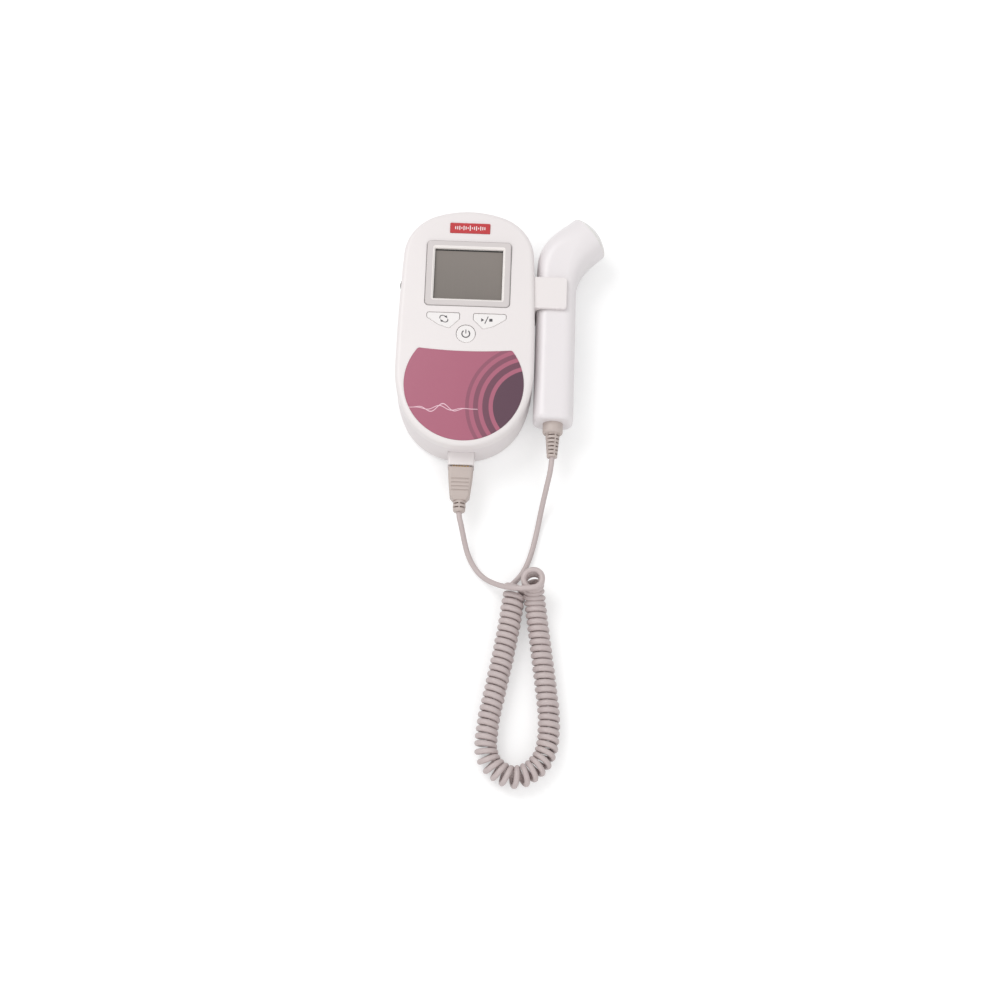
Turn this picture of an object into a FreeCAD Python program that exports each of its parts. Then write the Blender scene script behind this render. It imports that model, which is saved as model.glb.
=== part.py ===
"""Pocket fetal doppler monitor: a main unit, the probe in its side holder, the plug and the coiled cord.

Frame: the main unit lies on its back. The origin is on the middle line of its back face, a little below the
middle of its length, +X is right, +Y is towards the top end and +Z comes out of the front face. All lengths
are in millimetres.
"""
import FreeCAD
import Part
import Sketcher
import math
import os

from FreeCAD import Placement, Rotation, Vector

DOC = FreeCAD.newDocument("doppler")
SHEET = DOC.addObject("Spreadsheet::Sheet", "Sizes")
DERIVED = DOC.addObject("App::VarSet", "Derived")
NODES = []
UPRIGHT = Rotation()
ALONG_X = Rotation(Vector(0, 1, 0), 90)
ALONG_Y = Rotation(Vector(1, 0, 0), -90)
DOWN_Y = Rotation(Vector(1, 0, 0), 90)

SIZES = (
    # the main unit's outline: tangent arcs, each with its own radius
    ("high_reach", 68.4), ("low_reach", 70.0), ("unit_width", 74.6), ("unit_depth", 31.5), ("widest_y", -25.5),
    ("top_radius", 54.2), ("shoulder_inset", 11.0), ("flank_radius", 1343.0), ("hip_radius", 60.0),
    ("low_corner_inset", 3.5), ("bottom_radius", 60.0), ("front_height", 8.0), ("dome_radius", 1500.0),
    ("front_round", 2.6), ("back_round", 4.0), ("shell_wall", 2.0), ("rear_inset", 0.3),
    ("seam_gap_height", 0.7), ("seam_gap_depth", 0.6), ("lip_drop", 1.6), ("lip_wall", 1.0),
    ("lip_clearance", 0.1), ("lip_overlap", 1.2),
    # screen
    ("screen_from_top", 39.0), ("bezel_width", 46.4), ("bezel_height", 39.0), ("bezel_corner", 2.4),
    ("bezel_stand", 0.45), ("bezel_bevel", 0.7), ("bezel_clearance", 0.15), ("window_width", 37.2),
    ("window_height", 30.2), ("window_bevel", 0.9), ("glass_margin", 2.4), ("glass_gap", 0.2),
    ("glass_thick", 2.2), ("contact_edge", 2.4), ("backlight_thick", 1.6), ("carrier_wall", 1.5),
    ("carrier_clearance", 0.2), ("carrier_ledge", 3.0), ("strip_thick", 1.8), ("strip_edge", 1.3),
    # keys, measured from the screen's middle and from the keypad's own middle
    ("keypad_from_screen", 29.4), ("power_y", -6.2), ("power_radius", 5.1), ("side_key_inner", 3.8),
    ("side_key_outer", 21.4), ("side_key_top", 5.9), ("side_key_low", -3.2), ("side_key_waist", 2.2),
    ("side_key_foot", 9.2), ("side_key_drop", 15.0), ("side_key_drop_y", -1.3), ("side_key_edge", 3.0),
    ("side_key_corner", 1.0), ("key_sink", 0.2), ("key_gap", 0.25), ("key_edge_round", 0.35),
    ("flange_reach", 0.9), ("power_flange_reach", 0.45), ("flange_gap", 0.4), ("flange_thick", 1.1),
    ("flange_clearance", 0.4), ("membrane_lift", 2.2), ("membrane_thick", 1.0), ("membrane_width", 53.0),
    ("membrane_height", 23.0), ("membrane_y", -2.6), ("membrane_corner", 2.0), ("pad_radius", 3.0),
    ("pad_height", 1.6), ("pad_gap", 0.8), ("switch_side", 6.0), ("switch_can", 1.1), ("switch_height", 1.6),
    ("switch_dome", 1.7), ("side_switch_x", 12.2), ("side_switch_y", 2.2), ("guide_pin_radius", 0.9),
    ("guide_pin_fit", 0.2), ("guide_pin_inset", 2.4), ("guide_pin_y", -6.5),
    # label and badge
    ("label_inset", 5.2), ("label_low_inset", 2.9), ("label_top", -16.5), ("label_sag_radius", 240.0),
    ("label_corner", 1.6), ("label_thick", 0.36), ("label_sink", 0.18), ("label_clearance", 0.12),
    ("badge_from_top", 11.2), ("badge_width", 22.0), ("badge_height", 6.2), ("badge_corner", 0.5),
    ("badge_drop", 0.65), ("badge_thick", 1.0), ("badge_clearance", 0.1), ("badge_edge", 0.2),
    # board and its packages
    ("board_gap", 0.3), ("board_thick", 1.6), ("board_inset", 4.6), ("processor_side", 12.0),
    ("processor_height", 1.4), ("amplifier_width", 7.0), ("amplifier_length", 9.0), ("amplifier_height", 1.6),
    ("memory_width", 6.0), ("memory_length", 5.0), ("memory_height", 1.2), ("choke_radius", 4.0),
    ("choke_height", 3.0), ("capacitor_radius", 2.5), ("capacitor_height", 4.2), ("crystal_width", 11.0),
    ("crystal_length", 4.5), ("crystal_height", 3.0), ("chip_width", 3.2), ("chip_length", 1.6),
    ("chip_height", 1.0),
    # battery bay
    ("cell_diameter", 14.5), ("cell_length", 50.5), ("cell_spacing", 0.7), ("cell_gap", 0.3),
    ("cell_skin", 0.1), ("cell_round", 0.6), ("nub_radius", 2.7), ("nub_height", 1.2), ("bay_side_gap", 1.05),
    ("contact_room", 2.55), ("bay_low_edge", 10.2), ("bay_wall", 1.2), ("bay_roof", 1.0), ("door_ledge", 1.2),
    ("door_clearance", 0.2), ("door_thick", 1.6), ("door_sink", 0.2), ("door_corner", 1.0),
    ("door_rib_width", 14.0), ("door_rib_length", 0.9), ("door_rib_depth", 0.5), ("door_rib_pitch", 2.0),
    ("door_rib_from_end", 5.0), ("latch_x", 8.0), ("latch_width", 4.0), ("latch_thick", 1.0),
    ("latch_height", 1.6), ("contact_width", 9.0), ("contact_height", 10.0), ("contact_thick", 0.3),
    ("spring_radius", 4.2), ("spring_step", 0.8), ("spring_wire", 0.3), ("spring_strip", 0.36),
    ("boss_radius", 2.2),
    ("contact_touch", 0.05),
    # screws
    ("screw_inset", 12.7), ("screw_from_top", 11.8), ("screw_low_inset", 10.7), ("screw_from_low", 27.0),
    ("post_radius", 3.2), ("screw_hole", 1.25), ("screw_head", 2.3), ("screw_head_height", 1.6),
    ("head_bore", 2.7), ("head_depth", 3.2), ("thread_radius", 1.0), ("thread_length", 4.5),
    ("thread_fit", 0.02), ("screw_length", 3.5), ("cross_length", 3.2), ("cross_width", 0.7),
    ("cross_depth", 0.7), ("post_gap", 0.4),
    # speaker
    ("speaker_from_top", 37.4), ("speaker_radius", 18.0), ("speaker_rim", 1.4), ("speaker_height", 7.0),
    ("magnet_radius", 9.0), ("magnet_height", 3.2), ("basket_step", 1.0), ("basket_wall", 1.2),
    ("cone_radius", 14.6), ("cone_rise", 2.4), ("cone_thick", 0.5), ("cone_gap", 0.15), ("voice_radius", 5.0),
    ("ring_wall", 1.3), ("ring_gap", 0.3), ("ring_height", 3.5), ("slot_width", 1.6), ("slot_pitch", 4.0),
    ("grille_inset", 3.5),
    # volume wheel
    ("wheel_from_top", 39.4), ("wheel_radius", 7.5), ("wheel_stand_out", 1.5), ("wheel_thick", 3.2),
    ("wheel_bevel", 0.4), ("groove_radius", 0.36), ("groove_lift", 0.12), ("spindle_radius", 1.6),
    ("spindle_fit", 0.05), ("spindle_cap", 1.2), ("cap_thick", 0.6), ("wheel_gap", 0.45), ("wheel_end_gap", 0.3),
    ("pot_side", 7.0), ("pot_height", 3.1),
    # headphone jack
    ("jack_from_top", 62.4), ("jack_bore", 1.75), ("jack_depth", 14.0), ("jack_barrel", 3.0),
    ("jack_barrel_length", 4.4), ("jack_recess", 0.4), ("jack_shoulder", 3.0), ("jack_body", 7.6),
    ("jack_length", 13.0), ("jack_clearance", 0.1),
    # plug and its socket
    ("plug_drop", 5.2), ("socket_width", 14.2), ("socket_height", 10.4), ("socket_reach", 6.4),
    ("socket_depth", 6.8), ("socket_wall", 1.7), ("socket_round", 1.2), ("socket_clearance", 0.1),
    ("socket_flange", 1.5), ("flange_plate", 1.2), ("tongue_fit", 0.25),
    ("tongue_length", 8.0), ("plug_gap", 1.1), ("plug_width", 13.4), ("plug_height", 9.4), ("plug_straight", 5.0),
    ("plug_length", 18.0), ("plug_tail_width", 10.6), ("plug_tail_height", 7.8), ("plug_shoulder", 2.0),
    ("plug_round", 1.6), ("rib_count", 4), ("rib_width", 9.4), ("rib_pitch", 2.1), ("rib_length", 0.9),
    ("rib_depth", 0.35), ("rib_from_tail", 3.0), ("plug_relief_length", 6.2), ("plug_relief_radius", 3.4),
    ("plug_relief_round", 1.0), ("contact_pitch", 1.5), ("strip_width", 0.9), ("strip_depth", 0.4),
    ("strip_height", 0.3), ("leaf_width", 0.7), ("leaf_thick", 0.16), ("leg_side", 0.7),
    # holder
    ("holder_from_top", 56.4), ("holder_height", 18.6), ("holder_stand", 0.5), ("wall_touch", 0.03),
    ("strap_thick", 2.1), ("strap_lap", 5.6), ("strap_clearance", 0.3), ("web_clearance", 0.18),
    ("strap_corner", 1.8), ("strap_tip_round", 0.6), ("pin_radius", 1.7), ("pin_length", 4.6),
    ("pin_spacing", 9.0), ("pin_clearance", 0.1), ("holder_screw_radius", 0.7), ("holder_screw_fit", 0.02),
    ("holder_screw_length", 4.0), ("holder_head_radius", 2.0), ("holder_head_height", 1.2),
    # probe
    ("probe_z", 16.0), ("shaft_width", 21.6), ("shaft_depth", 20.0), ("shaft_corner", 6.0),
    ("shaft_below", 62.9), ("shaft_end_round", 2.5), ("probe_wall", 1.8), ("head_diameter", 26.2),
    ("head_lean", 49.0), ("head_reach_x", 16.9), ("head_reach_y", 34.3),
    ("bend_above", 13.6), ("inner_bend", 25.5), ("outer_bend", 28.9), ("dome_rim", 1.2), ("dome_rise", 4.2), ("dome_wall", 1.6), ("dome_step", 0.5),
    ("spigot_length", 2.8), ("spigot_wall", 1.45), ("spigot_fit", 0.15), ("crystal_inset", 4.4),
    ("crystal_thick", 1.0), ("crystal_split", 0.8), ("backing_inset", 4.2), ("backing_thick", 4.0),
    ("probe_board_width", 13.0), ("probe_board_length", 58.0), ("probe_board_thick", 1.2),
    ("probe_board_drop", 4.0), ("probe_board_from_end", 9.9), ("probe_rib_thick", 1.6),
    ("probe_rib_inset", 4.0), ("collar_radius", 5.45), ("collar_length", 6.0), ("collar_round", 1.4),
    ("sleeve_radius", 3.9), ("sleeve_tip_radius", 2.8), ("sleeve_length", 13.0), ("sleeve_rows", 6),
    ("sleeve_pitch", 2.1), ("sleeve_slot", 0.8), ("slot_bridge", 0.8), ("sleeve_turn", 25.0),
    ("entry_clearance", 0.1), ("relief_spigot", 4.0),
    # cord
    ("cord_diameter", 3.0), ("coil_diameter", 11.4), ("floor_gap", 0.05),
)


class Size:
    """A length that carries both its number and the expression that binds it to the sheet."""

    def __init__(self, number, text):
        """Takes the number and its expression."""
        self.number = number
        self.text = text

    @staticmethod
    def of(value):
        """Turns a plain number into a size."""
        return value if isinstance(value, Size) else Size(float(value), "%.9g" % value)

    def __add__(self, other):
        other = Size.of(other)
        return Size(self.number + other.number, "(%s + %s)" % (self.text, other.text))

    def __radd__(self, other):
        return Size.of(other) + self

    def __sub__(self, other):
        other = Size.of(other)
        return Size(self.number - other.number, "(%s - %s)" % (self.text, other.text))

    def __rsub__(self, other):
        return Size.of(other) - self

    def __mul__(self, other):
        other = Size.of(other)
        return Size(self.number * other.number, "(%s * %s)" % (self.text, other.text))

    def __rmul__(self, other):
        return Size.of(other) * self

    def __truediv__(self, other):
        other = Size.of(other)
        return Size(self.number / other.number, "(%s / %s)" % (self.text, other.text))

    def __neg__(self):
        return Size(-self.number, "(0 - %s)" % self.text)

    def __float__(self):
        return float(self.number)


def root(value):
    """The square root of a size."""
    return Size(math.sqrt(value.number), "sqrt(%s)" % value.text)


def fill_sheet():
    """Writes every size with its name into the sheet."""
    for row, (alias, value) in enumerate(SIZES, start=1):
        SHEET.set("A%d" % row, alias)
        SHEET.set("B%d" % row, str(value))
        SHEET.setAlias("B%d" % row, alias)
    DOC.recompute()


def size(name):
    """Reads a driving size, or one that was worked out from them, by its name."""
    if name in DERIVED.PropertiesList:
        return Size(float(getattr(DERIVED, name)), "Derived." + name)
    return Size(float(getattr(SHEET, name)), "Sizes." + name)


def derive(name, value):
    """Keeps a worked-out size under a name of its own, bound to what it comes from."""
    DERIVED.addProperty("App::PropertyFloat", name, "Derived", "")
    DERIVED.setExpression(name, value.text)
    DERIVED.recompute()


def meeting_point(first, first_radius, second, second_radius, side):
    """Where two circles cross; side +1 or -1 picks the crossing to the left or right of the line between."""
    gap_x = second[0] - first[0]
    gap_y = second[1] - first[1]
    span = root(gap_x * gap_x + gap_y * gap_y)
    along = (first_radius * first_radius - second_radius * second_radius + span * span) / (span * 2)
    aside = root(first_radius * first_radius - along * along) * side
    return (first[0] + gap_x * along / span - gap_y * aside / span,
            first[1] + gap_y * along / span + gap_x * aside / span)


def heading(name, start, end):
    """Derives the unit direction from one point to another as name_x and name_y."""
    gap_x = end[0] - start[0]
    gap_y = end[1] - start[1]
    span = root(gap_x * gap_x + gap_y * gap_y)
    derive(name + "_x", gap_x / span)
    derive(name + "_y", gap_y / span)


def derive_outline():
    """Works out the centres of the outline's corner arcs and where the arcs meet."""
    half = size("half_width")
    derive("shoulder_radius", half - size("shoulder_inset"))
    derive("low_corner_radius", half - size("low_corner_inset"))
    derive("top_centre_y", size("high_reach") - size("top_radius"))
    derive("bottom_centre_y", size("bottom_radius") - size("low_reach"))
    derive("flank_centre_x", half - size("flank_radius"))
    derive("hip_centre_x", half - size("hip_radius"))
    zero = Size.of(0)
    widest = size("widest_y")
    top = (zero, size("top_centre_y"))
    flank = (size("flank_centre_x"), widest)
    hip = (size("hip_centre_x"), widest)
    bottom = (zero, size("bottom_centre_y"))
    round_off = size("shoulder_radius")
    shoulder = meeting_point(flank, size("flank_radius") - round_off, top, size("top_radius") - round_off, 1)
    derive("shoulder_x", shoulder[0])
    derive("shoulder_y", shoulder[1])
    round_off = size("low_corner_radius")
    low = meeting_point(hip, size("hip_radius") - round_off, bottom, size("bottom_radius") - round_off, -1)
    derive("low_corner_x", low[0])
    derive("low_corner_y", low[1])
    shoulder = (size("shoulder_x"), size("shoulder_y"))
    low = (size("low_corner_x"), size("low_corner_y"))
    heading("top_joint", top, shoulder)
    heading("shoulder_joint", flank, shoulder)
    heading("hip_joint", hip, low)
    heading("bottom_joint", bottom, low)


def flank_x(y):
    """The outline's half width at a place on the upper flank."""
    rise = y - size("widest_y")
    radius = size("flank_radius")
    return size("flank_centre_x") + root(radius * radius - rise * rise)


def derive_sizes():
    """Works out the heights and places that several pieces share."""
    derive("half_width", size("unit_width") / 2)
    derive_outline()
    derive("seam", size("unit_depth") - size("front_height"))
    derive("cell_pitch", size("cell_diameter") + size("cell_spacing"))
    derive("bay_width", size("cell_diameter") + size("cell_pitch") + size("bay_side_gap") * 2)
    derive("bay_length", size("cell_length") + size("contact_room") * 2)
    derive("bay_y", size("bay_low_edge") - size("low_reach") + size("bay_length") / 2)
    derive("bay_depth", size("door_sink") + size("door_thick") + size("cell_diameter") + size("cell_gap") * 2)
    derive("cell_z", size("door_sink") + size("door_thick") + size("cell_gap") + size("cell_diameter") / 2)
    derive("board_bottom", size("bay_depth") + size("bay_roof") + size("board_gap"))
    derive("board_top", size("board_bottom") + size("board_thick"))
    derive("screen_y", size("high_reach") - size("screen_from_top"))
    derive("bezel_bottom", size("unit_depth") - size("shell_wall"))
    derive("bezel_top", size("unit_depth") + size("bezel_stand"))
    derive("glass_top", size("bezel_bottom") - size("glass_gap"))
    derive("glass_bottom", size("glass_top") - size("glass_thick"))
    derive("ledge_z", size("glass_bottom") - size("backlight_thick") - 0.1)
    derive("glass_width", size("window_width") + size("glass_margin") * 2)
    derive("glass_height", size("window_height") + size("glass_margin") * 2)
    derive("keypad_y", size("screen_y") - size("keypad_from_screen"))
    derive("key_top", size("unit_depth") - size("key_sink"))
    derive("membrane_bottom", size("board_top") + size("membrane_lift"))
    derive("pad_top", size("membrane_bottom") + size("membrane_thick") + size("pad_height"))
    derive("key_bottom", size("pad_top") + size("pad_gap"))
    derive("flange_top", size("bezel_bottom") - size("flange_gap"))
    derive("label_radius", size("half_width") - size("label_inset"))
    derive("label_y", size("label_low_inset") + size("label_radius") - size("low_reach"))
    derive("badge_y", size("high_reach") - size("badge_from_top"))
    derive("badge_top", size("unit_depth") - size("badge_drop"))
    derive("screw_x", size("half_width") - size("screw_inset"))
    derive("screw_top_y", size("high_reach") - size("screw_from_top"))
    derive("screw_low_x", size("half_width") - size("screw_low_inset"))
    derive("screw_low_y", size("screw_from_low") - size("low_reach"))
    derive("speaker_y", size("high_reach") - size("speaker_from_top"))
    derive("wheel_y", size("high_reach") - size("wheel_from_top"))
    derive("wheel_bottom", size("board_bottom") - size("pot_height") - size("wheel_end_gap") - size("wheel_thick"))
    derive("wheel_x", size("wheel_radius") - size("wheel_stand_out") - flank_x(size("wheel_y")))
    derive("jack_y", size("high_reach") - size("jack_from_top"))
    derive("jack_z", size("board_bottom") - size("jack_body") / 2 - 0.2)
    derive("jack_mouth", size("jack_recess") - flank_x(size("jack_y")))
    derive("plug_z", size("board_bottom") - size("plug_drop"))
    derive("socket_end", size("low_reach") + size("socket_reach"))
    derive("tongue_width", size("socket_width") - (size("socket_wall") + size("tongue_fit")) * 2)
    derive("tongue_height", size("socket_height") - (size("socket_wall") + size("tongue_fit")) * 2)
    derive("tongue_top", size("plug_z") + size("tongue_height") / 2)
    derive("plug_front", size("socket_end") + size("plug_gap"))
    derive("plug_end", size("plug_front") + size("plug_length"))
    derive("holder_low", size("high_reach") - size("holder_from_top"))
    derive("probe_side", size("half_width") + size("holder_stand"))
    derive("probe_x", size("probe_side") + size("shaft_width") / 2)
    derive("shaft_end", size("shaft_below") - size("holder_low"))
    derive("bend_y", size("holder_low") + size("bend_above"))
    derive("head_x", size("probe_x") + size("head_reach_x"))
    derive("head_y", size("bend_y") + size("head_reach_y"))


# ---------------------------------------------------------------- objects of the document

class Work:
    """What is being made now, for naming the steps."""

    part = ""


def add(kind, word):
    """Adds one step of the current piece to the document."""
    return DOC.addObject(kind, "%s_%s" % (Work.part, word))


def bind(thing, name, value):
    """Binds one property of an object to a size."""
    thing.setExpression(name, Size.of(value).text)


def put(thing, x, y, z, turn=UPRIGHT):
    """Places an object with its base point bound to three sizes."""
    thing.Placement = Placement(Vector(), turn)
    for axis, value in (("x", x), ("y", y), ("z", z)):
        bind(thing, "Placement.Base." + axis, value)
    return thing


def box(x, y, z, wide, long, high):
    """A box from its lowest corner."""
    thing = add("Part::Box", "box")
    bind(thing, "Length", wide)
    bind(thing, "Width", long)
    bind(thing, "Height", high)
    return put(thing, x, y, z)


def block(wide, long, high, x, y, low):
    """A box from its plan size, its plan centre and its lower height."""
    return box(x - Size.of(wide) / 2, y - Size.of(long) / 2, low, wide, long, high)


def rod(radius, length, x, y, z, turn=UPRIGHT):
    """A cylinder from its base point."""
    thing = add("Part::Cylinder", "rod")
    bind(thing, "Radius", radius)
    bind(thing, "Height", length)
    return put(thing, x, y, z, turn)


def cone(first, second, length, x, y, z, turn=UPRIGHT):
    """A cut cone from its base point."""
    thing = add("Part::Cone", "cone")
    bind(thing, "Radius1", first)
    bind(thing, "Radius2", second)
    bind(thing, "Height", length)
    return put(thing, x, y, z, turn)


def ring(radius, wire, x, y, z, turn=UPRIGHT):
    """A closed ring of round wire."""
    thing = add("Part::Torus", "ring")
    bind(thing, "Radius1", radius)
    bind(thing, "Radius2", wire)
    return put(thing, x, y, z, turn)


def front_ball(drop):
    """The great ball whose top is the front face, lowered by an amount."""
    thing = add("Part::Sphere", "ball")
    bind(thing, "Radius", size("dome_radius") - drop)
    return put(thing, 0, 0, size("unit_depth") - size("dome_radius"))


def fuse(*things):
    """Joins things into one."""
    if len(things) == 1:
        return things[0]
    joined = add("Part::MultiFuse", "fuse")
    joined.Shapes = list(things)
    joined.Refine = True
    return joined


def cut(base, *tools):
    """Cuts tools out of a thing."""
    rest = add("Part::Cut", "cut")
    rest.Base = base
    rest.Tool = fuse(*tools)
    rest.Refine = True
    return rest


def common(first, second):
    """What two things share."""
    shared = add("Part::MultiCommon", "common")
    shared.Shapes = [first, second]
    shared.Refine = True
    return shared


def together(*things):
    """Keeps loose pieces of one kind together."""
    group = add("Part::Compound", "set")
    group.Links = list(things)
    return group


def edges_where(thing, test):
    """The numbers of an object's edges that pass a test."""
    DOC.recompute()
    return [index for index, edge in enumerate(thing.Shape.Edges, start=1) if test(edge)]


def rounded(thing, radius, test):
    """Rounds the edges that pass a test."""
    soft = add("Part::Fillet", "round")
    soft.Base = thing
    soft.Edges = [(index, float(radius), float(radius)) for index in edges_where(thing, test)]
    return soft


def bevelled(thing, width, test):
    """Bevels the edges that pass a test."""
    soft = add("Part::Chamfer", "bevel")
    soft.Base = thing
    soft.Edges = [(index, float(width), float(width)) for index in edges_where(thing, test)]
    return soft


def upright(edge):
    """Whether an edge is straight and stands along Z."""
    bounds = edge.BoundBox
    return bounds.ZLength > 0.05 and bounds.XLength < 1e-6 and bounds.YLength < 1e-6


def flat_at(height):
    """A test for edges that lie flat at a height."""
    level = float(height)
    return lambda edge: abs(edge.BoundBox.ZMin - level) < 0.01 and abs(edge.BoundBox.ZMax - level) < 0.01


def along_y(edge):
    """Whether an edge is straight and runs along Y."""
    bounds = edge.BoundBox
    return bounds.YLength > 0.5 and bounds.XLength < 1e-6 and bounds.ZLength < 1e-6


# ---------------------------------------------------------------- sketches and bodies

class Drawing:
    """A sketch whose points are placed by sizes."""

    def __init__(self, owner=None, plane="XY_Plane", offset=None):
        """Starts a sketch, alone at a height or on one of a body's planes."""
        if owner is None:
            self.sketch = add("Sketcher::SketchObject", "sketch")
            if offset is not None:
                bind(self.sketch, "Placement.Base.z", offset)
            return
        self.sketch = owner.newObject("Sketcher::SketchObject", "%s_sketch" % Work.part)
        planes = [item for item in owner.Origin.OriginFeatures if item.Role == plane]
        self.sketch.AttachmentSupport = (planes[0], [""])
        self.sketch.MapMode = "FlatFace"
        if offset is not None:
            bind(self.sketch, "AttachmentOffset.Base.z", offset)

    def fix(self, kind, *terms):
        """Adds a constraint; a last term that is a size is bound."""
        if isinstance(terms[-1], Size):
            row = self.sketch.addConstraint(Sketcher.Constraint(kind, *terms[:-1], terms[-1].number))
            self.sketch.setExpression("Constraints[%d]" % row, terms[-1].text)
        else:
            self.sketch.addConstraint(Sketcher.Constraint(kind, *terms))

    def level(self, word, shape, point, value):
        """Holds one coordinate of a point; word is DistanceX or DistanceY."""
        value = Size.of(value)
        if abs(value.number) < 1e-9:
            self.fix("PointOnObject", shape, point, -2 if word == "DistanceX" else -1)
        elif value.number > 0:
            self.fix(word, -1, 1, shape, point, value)
        else:
            self.fix(word, shape, point, -1, 1, -value)

    def loop(self, points):
        """Draws a closed polygon."""
        spots = [(Size.of(x), Size.of(y)) for x, y in points]
        first = self.sketch.GeometryCount
        for index, (x, y) in enumerate(spots):
            end = spots[(index + 1) % len(spots)]
            line = Part.LineSegment(Vector(float(x), float(y), 0), Vector(float(end[0]), float(end[1]), 0))
            self.sketch.addGeometry(line, False)
        for index, (x, y) in enumerate(spots):
            self.fix("Coincident", first + index, 2, first + (index + 1) % len(spots), 1)
            self.level("DistanceX", first + index, 1, x)
            self.level("DistanceY", first + index, 1, y)
        return self

    def rectangle(self, wide, high, x=0, y=0):
        """Draws a rectangle about its middle."""
        half = Size.of(wide) / 2
        rise = Size.of(high) / 2
        return self.loop(((x - half, y - rise), (x + half, y - rise), (x + half, y + rise), (x - half, y + rise)))

    def circle(self, radius, x=0, y=0):
        """Draws a circle."""
        spot = Vector(float(Size.of(x)), float(Size.of(y)), 0)
        shape = self.sketch.addGeometry(Part.Circle(spot, Vector(0, 0, 1), float(radius)), False)
        self.fix("Radius", shape, Size.of(radius))
        self.level("DistanceX", shape, 3, x)
        self.level("DistanceY", shape, 3, y)
        return self

    def arc(self, centre, radius, start, end):
        """Draws an arc from one direction to another, anticlockwise; each direction is an (x, y) pair."""
        angles = [math.atan2(float(y), float(x)) for x, y in (start, end)]
        spot = Vector(float(centre[0]), float(centre[1]), 0)
        round_line = Part.Circle(spot, Vector(0, 0, 1), float(radius))
        if angles[1] < angles[0]:
            angles[1] += 2 * math.pi
        shape = self.sketch.addGeometry(Part.ArcOfCircle(round_line, *angles), False)
        self.fix("Radius", shape, radius)
        self.level("DistanceX", shape, 3, centre[0])
        self.level("DistanceY", shape, 3, centre[1])
        for point, (x, y) in ((1, start), (2, end)):
            if abs(float(y)) > abs(float(x)):
                self.level("DistanceX", shape, point, centre[0] + radius * x)
            else:
                self.level("DistanceY", shape, point, centre[1] + radius * y)


def drawn_solid(sketch, height, turn=None):
    """The solid above a free sketch."""
    solid = add("Part::Extrusion", "solid")
    solid.Base = sketch
    solid.DirMode = "Custom"
    solid.Dir = turn or Vector(0, 0, 1)
    solid.Solid = True
    bind(solid, "LengthFwd", height)
    return solid


def body():
    """Starts a body for the current piece."""
    return add("PartDesign::Body", "body")


def pad(owner, drawing, length, back=False):
    """Pads a sketch; the XZ plane's front looks along -Y."""
    feature = owner.newObject("PartDesign::Pad", "%s_pad" % Work.part)
    feature.Profile = drawing.sketch
    feature.Reversed = back
    bind(feature, "Length", length)
    return feature


def pocket(owner, drawing, length, back=False):
    """Cuts a sketch's outline out, against its plane's normal, or along it when turned back."""
    feature = owner.newObject("PartDesign::Pocket", "%s_pocket" % Work.part)
    feature.Profile = drawing.sketch
    feature.Reversed = back
    bind(feature, "Length", length)
    return feature


def turned(owner, points):
    """Turns a profile of (radius, height) points about the body's Z axis."""
    drawing = Drawing(owner, "XZ_Plane").loop(points)
    feature = owner.newObject("PartDesign::Revolution", "%s_turned" % Work.part)
    feature.Profile = drawing.sketch
    feature.ReferenceAxis = (drawing.sketch, ["V_Axis"])
    feature.Angle = 360
    return feature


def soften(owner, kind, amount, test):
    """Adds a Fillet or a Chamfer to a body on the edges that pass a test."""
    DOC.recompute()
    before = owner.Tip
    names = ["Edge%d" % index for index, edge in enumerate(before.Shape.Edges, start=1) if test(edge)]
    feature = owner.newObject("PartDesign::" + kind, "%s_%s" % (Work.part, kind.lower()))
    feature.Base = (before, names)
    bind(feature, "Radius" if kind == "Fillet" else "Size", amount)
    return feature


# ---------------------------------------------------------------- shared outlines

def outline(inset, low, height):
    """The unit's outline, set in by an amount, as a solid from a lower height up."""
    drawing = Drawing(offset=low)
    up = (Size.of(0), Size.of(1))
    right = (Size.of(1), Size.of(0))
    zero = Size.of(0)
    joints = {word: (size(word + "_x"), size(word + "_y"))
              for word in ("top_joint", "shoulder_joint", "hip_joint", "bottom_joint")}

    def mirrored(pair):
        """The same point on the left half."""
        return (-pair[0], pair[1])

    top = joints["top_joint"]
    bottom = joints["bottom_joint"]
    drawing.arc((zero, size("top_centre_y")), size("top_radius") - inset, top, mirrored(top))
    sides = (((size("shoulder_x"), size("shoulder_y")), size("shoulder_radius"), joints["shoulder_joint"], top),
             ((size("flank_centre_x"), size("widest_y")), size("flank_radius"), right, joints["shoulder_joint"]),
             ((size("hip_centre_x"), size("widest_y")), size("hip_radius"), joints["hip_joint"], right),
             ((size("low_corner_x"), size("low_corner_y")), size("low_corner_radius"), bottom,
              joints["hip_joint"]))
    for centre, radius, start, end in sides:
        drawing.arc(centre, radius - inset, start, end)
        drawing.arc(mirrored(centre), radius - inset, mirrored(end), mirrored(start))
    drawing.arc((zero, size("bottom_centre_y")), size("bottom_radius") - inset, mirrored(bottom), bottom)
    return drawn_solid(drawing.sketch, height)


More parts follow.
